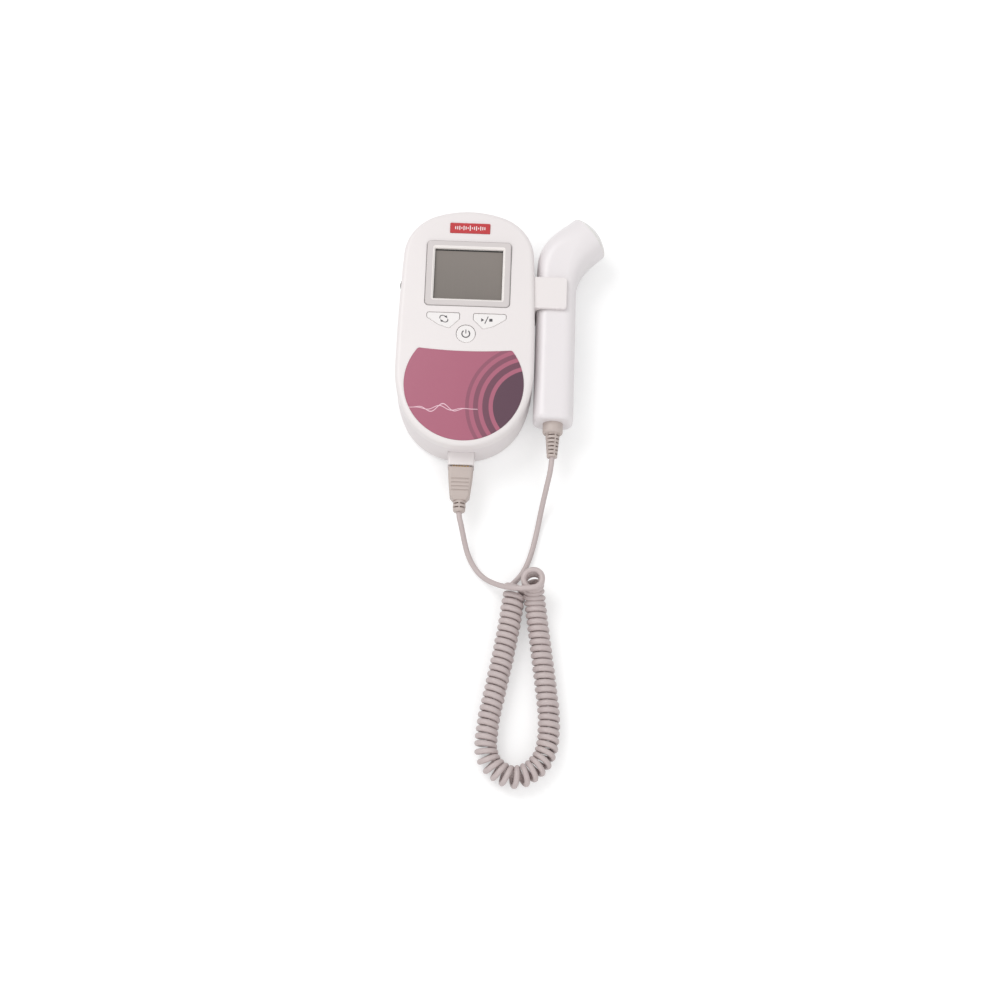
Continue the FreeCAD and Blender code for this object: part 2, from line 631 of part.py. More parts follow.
def side_key_points(side, grow):
    """A side key's outline, every side moved out by an amount; side -1 is the left key and +1 the right key."""
    top = size("side_key_top")
    points = [(size("side_key_inner"), top), (size("side_key_inner"), size("side_key_waist")),
              (size("side_key_foot"), size("side_key_low")), (size("side_key_drop"), size("side_key_drop_y")),
              (size("side_key_outer"), size("side_key_edge")), (size("side_key_outer"), top)]
    lines = []
    for index, (x, y) in enumerate(points):
        far_x, far_y = points[(index + 1) % len(points)]
        gap_x = far_x - x
        gap_y = far_y - y
        span = root(gap_x * gap_x + gap_y * gap_y)
        out_x = gap_y / span
        out_y = -gap_x / span
        lines.append((out_x, out_y, out_x * x + out_y * y + grow))
    moved = []
    for index in range(len(lines)):
        first_x, first_y, first_reach = lines[index - 1]
        next_x, next_y, next_reach = lines[index]
        scale = first_x * next_y - first_y * next_x
        moved.append(((first_reach * next_y - next_reach * first_y) / scale * side,
                      (first_x * next_reach - next_x * first_reach) / scale + size("keypad_y")))
    return moved


def side_key_prism(side, grow, low, height):
    """A side key's outline as a solid from a lower height up."""
    drawing = Drawing(offset=low).loop(side_key_points(side, Size.of(grow)))
    solid = drawn_solid(drawing.sketch, height)
    return rounded(solid, size("side_key_corner") + grow, upright)


def power_key_prism(grow, low, height):
    """The power key's round outline as a solid from a lower height up."""
    return rod(size("power_radius") + grow, height, 0, size("keypad_y") + size("power_y"), low)


def label_prism(grow, low, height):
    """The label's outline, a disc cut by a shallow curve above, as a solid from a lower height up."""
    disc = rod(size("label_radius") + grow, height, 0, size("label_y"), low)
    reach = size("label_sag_radius")
    above = rod(reach - grow, height + 2, 0, size("keypad_y") + size("label_top") + reach, low - 1)
    film = cut(disc, above)
    return rounded(film, size("label_corner") + grow,
                   lambda edge: edge.BoundBox.ZLength > 1 and edge.BoundBox.XLength < 1e-4)


def badge_block(grow, low, height):
    """The badge's outline as a solid from a lower height up."""
    solid = block(size("badge_width") + grow * 2, size("badge_height") + grow * 2, height, 0, size("badge_y"), low)
    return rounded(solid, size("badge_corner") + grow, upright)


def screw_spots():
    """The four screw posts in plan."""
    high = size("screw_top_y")
    low = size("screw_low_y")
    return [(size("screw_x"), high), (-size("screw_x"), high), (size("screw_low_x"), low),
            (-size("screw_low_x"), low)]


def guide_pin_spots():
    """The two pins that locate the key sheet, in plan."""
    reach = size("membrane_width") / 2 - size("guide_pin_inset")
    y = size("keypad_y") + size("membrane_y") + size("guide_pin_y")
    return [(-reach, y), (reach, y)]


# ---------------------------------------------------------------- main unit shells

def domed_solid(inset, low, edge_round):
    """The outline under the front face, both set in by the same amount, with a rounded rim."""
    depth = size("unit_depth")
    solid = common(outline(inset, low, depth + 1 - low), front_ball(inset))
    level = float(low)
    return rounded(solid, edge_round, lambda edge: edge.BoundBox.ZMin > level + 2 and edge.BoundBox.ZLength < 4)


def front_shell():
    """The domed front shell with its openings, posts and locating lip."""
    seam = size("seam")
    depth = size("unit_depth")
    wall = size("shell_wall")
    shell = cut(domed_solid(Size.of(0), seam, size("front_round")),
                domed_solid(wall, seam - 1, size("front_round") - wall))
    lip_out = size("rear_inset") + wall + size("lip_clearance")
    lip_in = lip_out + size("lip_wall")
    drop = size("lip_drop")
    lap = size("lip_overlap")
    lip = cut(outline(lip_out, seam - drop, drop + lap), outline(lip_in, seam - drop - 1, drop + lap + 2))
    bridge = cut(outline(wall - 0.2, seam, lap), outline(lip_in, seam - 1, lap + 2))
    clear = size("post_radius") + size("post_gap")
    lip = cut(lip, *[rod(clear, drop + 1, x, y, seam - drop - 1) for x, y in screw_spots()])
    posts = [rod(size("post_radius"), depth - seam - wall / 2, x, y, seam) for x, y in screw_spots()]
    posts = common(fuse(*posts), domed_solid(wall / 2, seam - 1, size("front_round") - wall / 2))
    low = size("membrane_bottom") - size("board_gap") * 2
    pins = [rod(size("guide_pin_radius"), size("bezel_bottom") + 0.5 - low, x, y, low)
            for x, y in guide_pin_spots()]
    shell = fuse(shell, lip, bridge, posts)
    gap = size("bezel_clearance")
    opening = rounded(block(size("bezel_width") + gap * 2, size("bezel_height") + gap * 2, depth - seam + 2, 0,
                            size("screen_y"), seam), size("bezel_corner") + gap, upright)
    through = depth - seam + 2
    cuts = [opening, power_key_prism(size("key_gap"), seam, through)]
    cuts += [side_key_prism(side, size("key_gap"), seam, through) for side in (-1, 1)]
    cuts += [rod(size("thread_radius"), size("thread_length") + 0.5, x, y, seam - 0.5) for x, y in screw_spots()]
    cuts.append(cut(label_prism(size("label_clearance"), seam + 2, depth - seam), front_ball(size("label_sink"))))
    floor = size("badge_top") - size("badge_thick")
    cuts.append(badge_block(size("badge_clearance"), floor, size("badge_thick") + 2))
    return fuse(cut(shell, *cuts), *pins)


def battery_tray():
    """The moulded battery box as (outer block, inner space, door recess)."""
    y = size("bay_y")
    width = size("bay_width")
    length = size("bay_length")
    ledge = (size("door_ledge") + size("door_clearance")) * 2
    margin = ledge + size("bay_wall") * 2
    roof = size("bay_depth")
    base = size("shell_wall") / 4
    outer = block(width + margin, length + margin, roof + size("bay_roof") - base, 0, y, base)
    inner = block(width, length, roof + 1, 0, y, -1)
    recess = block(width + ledge, length + ledge, size("door_sink") + size("door_thick") + 1, 0, y, -1)
    return outer, inner, recess


def grille_slots():
    """The speaker grille: slots whose length follows a round field."""
    field = size("speaker_radius") - size("grille_inset")
    width = size("slot_width")
    deep = size("shell_wall") + 2
    rows = int(float(field) / float(size("slot_pitch")))
    slots = []
    for row in range(-rows, rows + 1):
        aside = size("slot_pitch") * row
        half = root(field * field - aside * aside) - width / 2
        y = size("speaker_y") + aside
        slots.append(block(half * 2, width, deep, 0, y, -1))
        slots += [rod(width / 2, deep, half * side, y, -1) for side in (-1, 1)]
    return slots


def holder_pin_spots():
    """Where along Y the holder's two pins go through the wall."""
    middle = size("holder_low") + size("holder_height") / 2
    return (middle - size("pin_spacing") / 2, middle + size("pin_spacing") / 2)


def rear_shell():
    """The back shell with the battery box, posts, grille and the side openings."""
    seam = size("seam")
    inset = size("rear_inset")
    wall = size("shell_wall")
    outer = rounded(outline(inset, Size.of(0), seam), size("back_round"), flat_at(0))
    inner = rounded(outline(inset + wall, wall, seam), size("back_round") - wall * 0.8, flat_at(wall))
    groove_low = seam - size("seam_gap_height")
    groove = cut(outline(-1, groove_low, seam), outline(inset + size("seam_gap_depth"), groove_low - 1, seam + 2))
    tray, bay, recess = battery_tray()
    base = wall / 4
    posts = [rod(size("post_radius"), seam - base, x, y, base) for x, y in screw_spots()]
    speaker_y = size("speaker_y")
    ring_in = size("speaker_radius") + size("ring_gap")
    collar = cut(rod(ring_in + size("ring_wall"), size("ring_height"), 0, speaker_y, wall - base),
                 rod(ring_in, size("ring_height") + 2, 0, speaker_y, wall))
    shell = fuse(cut(outer, inner, groove), tray, collar, *posts)
    cuts = [bay, recess] + grille_slots()
    for x, y in screw_spots():
        cuts.append(rod(size("screw_hole"), seam + 2, x, y, -1))
        cuts.append(rod(size("head_bore"), size("head_depth") + 1, x, y, -1))
    gap = size("wheel_gap")
    cuts.append(rod(size("wheel_radius") + gap, size("wheel_thick") + gap * 2, size("wheel_x"), size("wheel_y"),
                    size("wheel_bottom") - gap))
    cuts.append(rod(size("jack_barrel") + size("jack_clearance"), 12, size("jack_mouth") - 5, size("jack_y"),
                    size("jack_z"), ALONG_X))
    clear = size("socket_clearance") * 2
    cuts.append(block(size("socket_width") + clear, 12, size("socket_height") + clear, 0, -size("low_reach"),
                      size("plug_z") - (size("socket_height") + clear) / 2))
    for y in holder_pin_spots():
        cuts.append(rod(size("pin_radius") + size("pin_clearance"), 12, size("half_width") - 8, y,
                        size("probe_z"), ALONG_X))
    return cut(shell, *cuts)


def front_label():
    """The printed film on the lower half of the front face."""
    sink = size("label_sink")
    film = label_prism(Size.of(0), size("seam") + 2, size("front_height"))
    return cut(common(film, front_ball(sink - size("label_thick"))), front_ball(sink))


def badge_plate():
    """The small coloured plate near the top end, its front edges eased."""
    plate = body()
    thick = size("badge_thick")
    pad(plate, Drawing(plate).rectangle(size("badge_width"), size("badge_height")), thick)
    soften(plate, "Fillet", size("badge_corner"), upright)
    soften(plate, "Chamfer", size("badge_edge"), flat_at(thick))
    return put(plate, 0, size("badge_y"), size("badge_top") - thick)


# ---------------------------------------------------------------- screen

def lcd_bezel():
    """The bevelled frame round the screen."""
    frame = body()
    thick = size("bezel_top") - size("bezel_bottom")
    wide = size("window_width")
    high = size("window_height")
    pad(frame, Drawing(frame).rectangle(size("bezel_width"), size("bezel_height")), thick)
    soften(frame, "Fillet", size("bezel_corner"), upright)
    soften(frame, "Chamfer", size("bezel_bevel"), flat_at(thick))
    pocket(frame, Drawing(frame, offset=-1).rectangle(wide, high), thick + 2, back=True)
    level = flat_at(thick)
    reach = float(wide) / 2 + 0.01
    rise = float(high) / 2 + 0.01
    soften(frame, "Chamfer", size("window_bevel"), lambda edge: level(edge) and
           abs(edge.BoundBox.Center.x) < reach and abs(edge.BoundBox.Center.y) < rise)
    return put(frame, 0, size("screen_y"), size("bezel_bottom"))


def lcd_panel():
    """The liquid crystal glass: a front plate and a larger rear plate with the contact edge."""
    top = size("glass_top")
    half = size("glass_thick") / 2
    edge = size("contact_edge")
    y = size("screen_y")
    front = block(size("glass_width"), size("glass_height") - edge, half, 0, y + edge / 2, top - half)
    rear = block(size("glass_width"), size("glass_height"), half, 0, y, top - half * 2)
    return fuse(front, rear)


def lcd_carrier():
    """The moulded frame that holds the glass and the backlight over the board."""
    low = size("board_top")
    high = size("glass_top") - 0.9
    y = size("screen_y")
    clear = size("carrier_clearance") * 2
    width = size("glass_width") + clear
    height = size("glass_height") + clear
    wall = size("carrier_wall") * 2
    ledge = size("carrier_ledge") * 2
    outer = block(width + wall, height + wall, high - low, 0, y, low)
    seat = block(width, height, high, 0, y, size("ledge_z"))
    well = block(width - ledge, height - ledge, high, 0, y, low - 1)
    return cut(outer, seat, well)


def lcd_backlight():
    """The diffuser sheet behind the glass, above the contact strip."""
    edge = size("strip_thick") + size("carrier_clearance")
    length = size("glass_height") - edge - size("strip_edge") - size("carrier_clearance") * 2
    y = size("screen_y") + size("glass_height") / 2 - size("carrier_clearance") - length / 2
    return block(size("glass_width") - 0.4, length, size("backlight_thick"), 0, y,
                 size("glass_bottom") - size("backlight_thick"))


def lcd_connector():
    """The rubber strip that joins the glass's contact edge to the board."""
    y = size("screen_y") - size("glass_height") / 2 + size("strip_edge")
    ledge = size("ledge_z")
    return block(size("glass_width") - 4, size("strip_thick"), size("glass_bottom") - ledge, 0, y, ledge)


# ---------------------------------------------------------------- keys

def key_flange_room():
    """From where and how high things that clear the keys' flanges are cut."""
    return size("flange_top") - size("flange_thick") - 1, size("flange_thick") + 2


def side_key(side):
    """A side key: a cap on a flange that holds it behind the front shell."""
    low = size("key_bottom")
    cap = side_key_prism(side, 0, low, size("key_top") - low)
    cap = rounded(cap, size("key_edge_round"), flat_at(size("key_top")))
    thick = size("flange_thick")
    flange = side_key_prism(side, size("flange_reach"), size("flange_top") - thick, thick)
    room_low, room = key_flange_room()
    return fuse(cap, cut(flange, power_key_prism(size("power_flange_reach") + size("flange_clearance"),
                                                 room_low, room)))


def power_key():
    """The round power key on its own flange."""
    low = size("key_bottom")
    cap = power_key_prism(0, low, size("key_top") - low)
    cap = rounded(cap, size("key_edge_round"), flat_at(size("key_top")))
    thick = size("flange_thick")
    return fuse(cap, power_key_prism(size("power_flange_reach"), size("flange_top") - thick, thick))


def switch_spots():
    """The three key switches in plan."""
    y = size("keypad_y")
    return [(Size.of(0), y + size("power_y")), (size("side_switch_x"), y + size("side_switch_y")),
            (-size("side_switch_x"), y + size("side_switch_y"))]


def keypad_membrane():
    """The silicone sheet with a raised pad under each key."""
    sheet = body()
    middle = size("keypad_y") + size("membrane_y")
    thick = size("membrane_thick")
    pad(sheet, Drawing(sheet).rectangle(size("membrane_width"), size("membrane_height")), thick)
    soften(sheet, "Fillet", size("membrane_corner"), upright)
    bumps = Drawing(sheet, offset=thick / 2)
    for x, y in switch_spots():
        bumps.circle(size("pad_radius"), x, y - middle)
    pad(sheet, bumps, thick / 2 + size("pad_height"))
    holes = Drawing(sheet, offset=-1)
    for x, y in guide_pin_spots():
        holes.circle(size("guide_pin_radius") + size("guide_pin_fit"), x, y - middle)
    pocket(sheet, holes, thick + 2, back=True)
    return put(sheet, 0, middle, size("membrane_bottom"))


def key_switches():
    """The three dome switches on the board."""
    low = size("board_top")
    side = size("switch_side")
    switches = []
    for x, y in switch_spots():
        can = block(side, side, size("switch_can"), x, y, low)
        switches.append(fuse(can, rod(size("switch_dome"), size("switch_height"), x, y, low)))
    return together(*switches)


# ---------------------------------------------------------------- board and what sits on it

def main_board():
    """The circuit board, following the shell, with room for the posts and the socket."""
    low = size("board_bottom")
    thick = size("board_thick")
    clear = size("post_radius") + size("post_gap")
    cuts = []
    for index, (x, y) in enumerate(screw_spots()):
        side = 1 if index % 2 == 0 else -1
        cuts.append(rod(clear, thick + 2, x, y, low - 1))
        cuts.append(block(12, clear * 2, thick + 2, x + 6 * side, y, low - 1))
    cuts.append(block(size("socket_width") + 2, 20, thick + 2, 0, -size("low_reach") - 2, low - 1))
    return cut(outline(size("board_inset"), low, thick), *cuts)


def board_chips():
    """The packages soldered to the board below the keys: processor, amplifier, memory, choke and others."""
    low = size("board_top")
    y = size("keypad_y")
    small = (size("chip_width"), size("chip_length"), size("chip_height"))
    return together(
        block(size("processor_side"), size("processor_side"), size("processor_height"), -8, y - 28, low),
        block(size("amplifier_width"), size("amplifier_length"), size("amplifier_height"), 12, y - 27, low),
        block(size("memory_width"), size("memory_length"), size("memory_height"), -21, y - 22, low),
        rod(size("choke_radius"), size("choke_height"), 20, y - 36, low),
        rod(size("capacitor_radius"), size("capacitor_height"), -19, y - 36, low),
        block(*small, 2, y - 40, low),
        block(*small, 8, y - 40, low),
        block(size("crystal_width"), size("crystal_length"), size("crystal_height"), -2, y - 50, low))


def speaker_frame():
    """The speaker's basket and magnet, turned about the speaker's axis."""
    frame = body()
    radius = size("speaker_radius")
    rim = size("speaker_rim")
    magnet = size("magnet_radius")
    top = size("speaker_height")
    shelf = top - size("magnet_height")
    step = size("basket_step")
    wall = size("basket_wall")
    turned(frame, ((0, shelf - step / 2), (magnet - wall * 2, shelf - step / 2), (radius - step - wall, 0),
                   (radius, 0), (radius, rim), (radius - step, rim), (magnet, shelf), (magnet, top), (0, top)))
    return put(frame, 0, size("speaker_y"), size("shell_wall"))


def speaker_cone():
    """The speaker's paper cone, a thin turned skin."""
    skin = body()
    wide = size("cone_radius")
    thick = size("cone_thick")
    low = size("cone_gap")
    rise = size("cone_rise")
    voice = size("voice_radius")
    turned(skin, ((voice - 1, low + rise - thick), (wide - 1, low), (wide, low), (voice, low + rise),
                  (voice - 1, low + rise)))
    return put(skin, 0, size("speaker_y"), size("shell_wall"))


def volume_wheel():
    """The ribbed thumbwheel."""
    wheel = body()
    radius = size("wheel_radius")
    thick = size("wheel_thick")
    pad(wheel, Drawing(wheel).circle(radius), thick)
    soften(wheel, "Chamfer", size("wheel_bevel"), lambda edge: edge.Closed)
    bore = Drawing(wheel, offset=-1).circle(size("spindle_radius") + size("spindle_fit"))
    pocket(wheel, bore, thick + 2, back=True)
    groove = Drawing(wheel, offset=-1).circle(size("groove_radius"), radius + size("groove_lift"), 0)
    first = pocket(wheel, groove, thick + 2, back=True)
    ribs = wheel.newObject("PartDesign::PolarPattern", "volume_wheel_ribs")
    ribs.Originals = [first]
    ribs.Axis = (groove.sketch, ["N_Axis"])
    ribs.Angle = 360
    ribs.Occurrences = 30
    wheel.Tip = ribs
    return put(wheel, size("wheel_x"), size("wheel_y"), size("wheel_bottom"))


def volume_pot():
    """The potentiometer under the board, with the spindle that the wheel turns on."""
    top = size("board_bottom")
    side = size("pot_side")
    high = size("pot_height")
    x = size("wheel_x")
    y = size("wheel_y")
    low = size("wheel_bottom")
    can = block(side, side, high, x, y, top - high)
    reach = size("cap_thick") / 2 + size("wheel_end_gap")
    spindle = rod(size("spindle_radius"), top - high / 2 - low + reach, x, y, low - reach)
    cap = rod(size("spindle_radius") + size("spindle_cap"), size("cap_thick"), x, y,
              low - size("wheel_end_gap") - size("cap_thick"))
    return fuse(can, spindle, cap)


def headphone_jack():
    """The 3.5 mm headphone socket, its collar in the left wall and its body soldered under the board."""
    y = size("jack_y")
    z = size("jack_z")
    mouth = size("jack_mouth")
    side = size("jack_body")
    low = z - side / 2
    barrel = rod(size("jack_barrel"), size("jack_barrel_length"), mouth, y, z, ALONG_X)
    can = block(size("jack_length"), side, size("board_bottom") - low,
                mouth + size("jack_shoulder") + size("jack_length") / 2, y, low)
    return cut(fuse(barrel, can), rod(size("jack_bore"), size("jack_depth"), mouth, y, z, ALONG_X))


def case_screws():
    """The four case screws, put in from the back."""
    floor = size("head_depth")
    high = size("screw_head_height")
    wide = size("cross_length")
    narrow = size("cross_width")
    deep = size("cross_depth") + 0.1
    screws = []
    for x, y in screw_spots():
        head = rod(size("screw_head"), high, x, y, floor - high)
        shank = rod(size("thread_radius") - size("thread_fit"), size("seam") + size("screw_length") - floor,
                    x, y, floor)
        low = floor - high - 0.1
        screws.append(cut(fuse(head, shank), block(wide, narrow, deep, x, y, low),
                          block(narrow, wide, deep, x, y, low)))
    return together(*screws)


# ---------------------------------------------------------------- battery bay

def cell_spots():
    """The two cells in plan, with the sense of each along Y."""
    return [(-size("cell_pitch") / 2, 1), (size("cell_pitch") / 2, -1)]


def batteries():
    """Two AA cells side by side, laid opposite ways."""
    radius = size("cell_diameter") / 2 - size("cell_skin")
    length = size("cell_length") - size("nub_height")
    cells = []
    for x, sense in cell_spots():
        turn = ALONG_Y if sense > 0 else DOWN_Y
        flat_end = size("bay_y") - size("cell_length") / 2 * sense
        can = rod(radius, length, x, flat_end, size("cell_z"), turn)
        can = rounded(can, size("cell_round"), lambda edge: edge.Closed)
        nub = rod(size("nub_radius"), size("nub_height") + 1, x, flat_end + (length - 1) * sense,
                  size("cell_z"), turn)
        cells.append(fuse(can, nub))
    return together(*cells)


def contact_plate(x, end, sense):
    """A flat contact plate against one end of the battery box; sense is the way it faces."""
    thick = size("contact_thick")
    return block(size("contact_width"), thick, size("contact_height"), x, end + thick / 2 * sense,
                 size("cell_z") - size("contact_height") / 2)


def battery_springs():
    """The two conical springs, one at each cell's flat end: rings of wire on a plate, tied by a strip."""
    wire = size("spring_wire")
    room = size("contact_room")
    thick = size("contact_thick")
    z = size("cell_z")
    pitch = (room - thick - wire * 2) / 2
    springs = []
    for x, sense in cell_spots():
        end = size("bay_y") - size("bay_length") / 2 * sense
        pieces = [contact_plate(x, end, sense)]
        for row in range(3):
            radius = size("spring_radius") - size("spring_step") * row
            pieces.append(ring(radius, wire, x, end + (thick + wire / 2 + pitch * row) * sense, z, ALONG_Y))
        low = z + size("spring_radius") - size("spring_step") * 2 - wire / 2
        strip = room - thick - wire
        pieces.append(block(size("spring_strip"), strip, size("spring_step") * 2 + wire, x,
                            end + (thick / 2 + strip / 2) * sense, low))
        springs.append(fuse(*pieces))
    return together(*springs)


def battery_tabs():
    """The two plain contact plates, one at each cell's button end."""
    tabs = []
    for x, sense in cell_spots():
        end = size("bay_y") + size("bay_length") / 2 * sense
        boss = rod(size("boss_radius"), size("contact_room") - size("contact_touch"), x, end, size("cell_z"),
                   DOWN_Y if sense > 0 else ALONG_Y)
        tabs.append(fuse(contact_plate(x, end, -sense), boss))
    return together(*tabs)


def battery_door():
    """The lid of the battery box with its finger ribs and latch tabs."""
    lid = body()
    width = size("bay_width") + size("door_ledge") * 2
    length = size("bay_length") + size("door_ledge") * 2
    thick = size("door_thick")
    pad(lid, Drawing(lid).rectangle(width, length), thick)
    soften(lid, "Fillet", size("door_corner"), upright)
    near = length / 2 - size("door_rib_from_end")
    rib = Drawing(lid).rectangle(size("door_rib_width"), size("door_rib_length"), 0, near)
    first = pocket(lid, rib, size("door_rib_depth"), back=True)
    ribs = lid.newObject("PartDesign::LinearPattern", "battery_door_ribs")
    ribs.Originals = [first]
    ribs.Direction = (rib.sketch, ["V_Axis"])
    ribs.Reversed = True
    ribs.Occurrences = 5
    bind(ribs, "Length", size("door_rib_pitch") * 4)
    lid.Tip = ribs
    tabs = Drawing(lid, offset=thick / 2)
    y = size("latch_thick") / 2 + size("cell_gap") + size("door_clearance") - size("bay_length") / 2
    for side in (-1, 1):
        tabs.rectangle(size("latch_width"), size("latch_thick"), size("latch_x") * side, y)
    pad(lid, tabs, thick / 2 + size("latch_height"))
    return put(lid, 0, size("bay_y"), size("door_sink"))


# ---------------------------------------------------------------- probe socket and plug

def contact_spots():
    """The six contacts across the plug."""
    return [size("contact_pitch") * (index - 2.5) for index in range(6)]


def probe_socket():
    """The white block that the plug goes into, with a flange behind the wall."""
    width = size("socket_width")
    height = size("socket_height")
    end = size("socket_end")
    z = size("plug_z") - height / 2
    length = size("socket_reach") + size("socket_depth")
    shell = rounded(box(-width / 2, -end, z, width, length, height), size("socket_round"), along_y)
    wall = size("socket_wall")
    inside = box(wall - width / 2, -end - 1, z + wall, width - wall * 2,
                 size("tongue_length") + size("plug_gap") + 1, height - wall * 2)
    reach = size("socket_flange")
    flange_y = size("shell_wall") + size("rear_inset") + size("flange_plate") - size("low_reach")
    flange = box(-width / 2 - reach, flange_y, z - reach * 0.8, width + reach * 2, size("flange_plate"),
                 height + reach * 1.6)
    return cut(fuse(shell, flange), inside)


def socket_contacts():
    """Six spring leaves in the socket's roof and six legs behind it up to the board."""
    back = size("socket_depth") - size("low_reach")
    side = size("leg_side")
    pieces = []
    for x in contact_spots():
        pieces.append(box(x - size("leaf_width") / 2, 2.4 - size("socket_end"), size("tongue_top") + 0.05,
                          size("leaf_width"), size("tongue_length") - 2, size("leaf_thick")))
        pieces.append(box(x - side / 2, back + 0.1, size("plug_z"), side, side,
                          size("board_top") + 0.6 - size("plug_z")))
    return together(*pieces)


def plug_body():
    """The tapered grip with ribs on its front and back, and the tongue that enters the socket."""
    grip = body()
    width = size("plug_width")
    height = size("plug_height")
    tail = size("plug_length") - size("plug_shoulder")
    relief = size("plug_relief_radius")
    sections = [(Size.of(0), width, height), (size("plug_straight"), width - 0.4, height - 0.2),
                (tail, size("plug_tail_width"), size("plug_tail_height")),
                (size("plug_length"), relief * 2 + 0.4, relief * 2)]
    for (start, wide, high), (end, far_wide, far_high) in zip(sections[:-1], sections[1:]):
        near = Drawing(grip, "XZ_Plane", start).rectangle(wide, high)
        far = Drawing(grip, "XZ_Plane", end).rectangle(far_wide, far_high)
        loft = grip.newObject("PartDesign::AdditiveLoft", "plug_body_loft")
        loft.Profile = near.sketch
        loft.Sections = [far.sketch]
        loft.Ruled = True
    soften(grip, "Fillet", size("plug_round"), lambda edge: edge.BoundBox.YLength > 1.0)
    first = size("plug_length") - size("plug_shoulder") - size("rib_from_tail")
    long = size("tongue_length") + size("plug_gap")
    tongue = Drawing(grip, "XZ_Plane", 1).rectangle(size("tongue_width"), size("tongue_height"))
    pad(grip, tongue, long + 1, back=True)
    put(grip, 0, -size("plug_front"), size("plug_z"))
    return grip, first, long


def ribbed_plug():
    """The plug's grip with its ribs and the slots of its contacts cut in."""
    grip, first, long = plug_body()
    z = size("plug_z")
    cuts = []
    slope = (size("plug_height") - 0.2 - size("plug_tail_height")) / 2
    run = size("plug_length") - size("plug_shoulder") - size("plug_straight")
    for row in range(int(float(size("rib_count")))):
        along = first - size("rib_pitch") * row
        half = size("plug_tail_height") / 2 + slope * (run + size("plug_straight") - along) / run
        y = -size("plug_front") - along
        for side in (-1, 1):
            middle = z + (half - size("rib_depth") + 1) * side
            cuts.append(block(size("rib_width"), size("rib_length"), 2, 0, y, middle - 1))
    for x in contact_spots():
        cuts.append(box(x - size("strip_width") / 2, 0.3 - size("plug_front"), size("tongue_top") - size("strip_depth"),
                        size("strip_width"), long, size("strip_depth") + 0.1))
    return cut(grip, *cuts)


def plug_contacts():
    """Six strips in the tongue's upper face."""
    return together(*[box(x - size("strip_width") / 2, 0.3 - size("plug_front"),
                          size("tongue_top") - size("strip_depth"), size("strip_width"),
                          size("tongue_length") - 0.4, size("strip_height")) for x in contact_spots()])


def sleeve_slots(rows, first, pitch, width, x, y, z, reach):
    """Pairs of slots across both faces of a sleeve that runs along -Y from a point."""
    slots = []
    bridge = size("slot_bridge")
    for row in range(rows):
        spot = y - first - pitch * row
        for side in (-1, 1):
            for face in (-1, 1):
                middle = z + (bridge + reach / 2) * face
                slots.append(block(reach, width, reach, x + (bridge / 2 + reach / 2) * side, spot,
                                   middle - reach / 2))
    return slots


def plug_relief():
    """The short barrel on the plug's tail, with two rows of slots and a rounded end."""
    barrel = body()
    radius = size("plug_relief_radius")
    length = size("plug_relief_length")
    turned(barrel, ((0, 0), (radius - 0.2, 0), (radius, length / 2), (radius - 0.2, length), (0, length)))
    far = float(length)
    soften(barrel, "Fillet", size("plug_relief_round"),
           lambda edge: edge.BoundBox.ZMin > far - 0.01 and edge.BoundBox.XLength > 1)
    y = -size("plug_end")
    put(barrel, 0, y, size("plug_z"), DOWN_Y)
    return cut(barrel, *sleeve_slots(2, length * 0.3, length * 0.34, size("sleeve_slot"), Size.of(0), y,
                                     size("plug_z"), radius))


# ---------------------------------------------------------------- holder

def unit_envelope():
    """The unit's outside, grown by the gap that the holder keeps from it."""
    touch = size("wall_touch")
    solid = outline(-touch, -touch, size("unit_depth") + touch * 2)
    solid = rounded(solid, size("front_round") + touch, flat_at(size("unit_depth") + touch))
    return rounded(solid, size("back_round") + touch, flat_at(-touch))


def probe_holder():
    """The clip on the right flank: a web that follows the wall, two straps and two pins through the wall."""
    clip = body()
    height = size("holder_height")
    half = size("shaft_depth") / 2 + size("strap_clearance")
    thick = size("strap_thick")
    rise = half + thick
    start = flank_x(size("holder_low") + height) - 1.2
    web = size("probe_side") - size("web_clearance")
    end = size("probe_x") + size("strap_lap")
    profile = ((start, -rise), (end, -rise), (end, -half), (web, -half), (web, half), (end, half),
               (end, rise), (start, rise))
    pad(clip, Drawing(clip, "XZ_Plane").loop(profile), height, back=True)
    inner = float(web)
    far = float(end)
    soften(clip, "Fillet", (size("shaft_corner") + size("strap_clearance")) * 0.72, lambda edge: along_y(edge)
           and abs(edge.BoundBox.Center.x - inner) < 0.01)
    soften(clip, "Fillet", size("strap_corner"), lambda edge: upright(edge)
           and abs(edge.BoundBox.Center.x - far) < 0.01)
    soften(clip, "Fillet", size("strap_tip_round"), lambda edge: along_y(edge)
           and abs(edge.BoundBox.Center.x - far) < 0.01)
    put(clip, 0, size("holder_low"), size("probe_z"))
    shaped = cut(clip, unit_envelope())
    deep = size("half_width") - size("pin_length")
    pins = []
    holes = []
    for y in holder_pin_spots():
        pins.append(rod(size("pin_radius"), web - 0.1 - deep, deep, y, size("probe_z"), ALONG_X))
        holes.append(rod(size("holder_screw_radius"), size("holder_screw_length") + 0.3, deep - 0.1, y,
                         size("probe_z"), ALONG_X))
    return cut(fuse(shaped, *pins), *holes)


def holder_screws():
    """The two screws that draw the holder against the wall from inside."""
    high = size("holder_head_height")
    x = size("half_width") - size("pin_length")
    z = size("probe_z")
    screws = []
    for y in holder_pin_spots():
        head = rod(size("holder_head_radius"), high, x - high, y, z, ALONG_X)
        shank = rod(size("holder_screw_radius") - size("holder_screw_fit"), size("holder_screw_length"), x, y, z,
                    ALONG_X)
        slot = box(x - high - 0.1, y - 1.4, z - 0.3, 0.6, 2.8, 0.6)
        screws.append(cut(fuse(head, shank), slot))
    return together(*screws)


# ---------------------------------------------------------------- probe

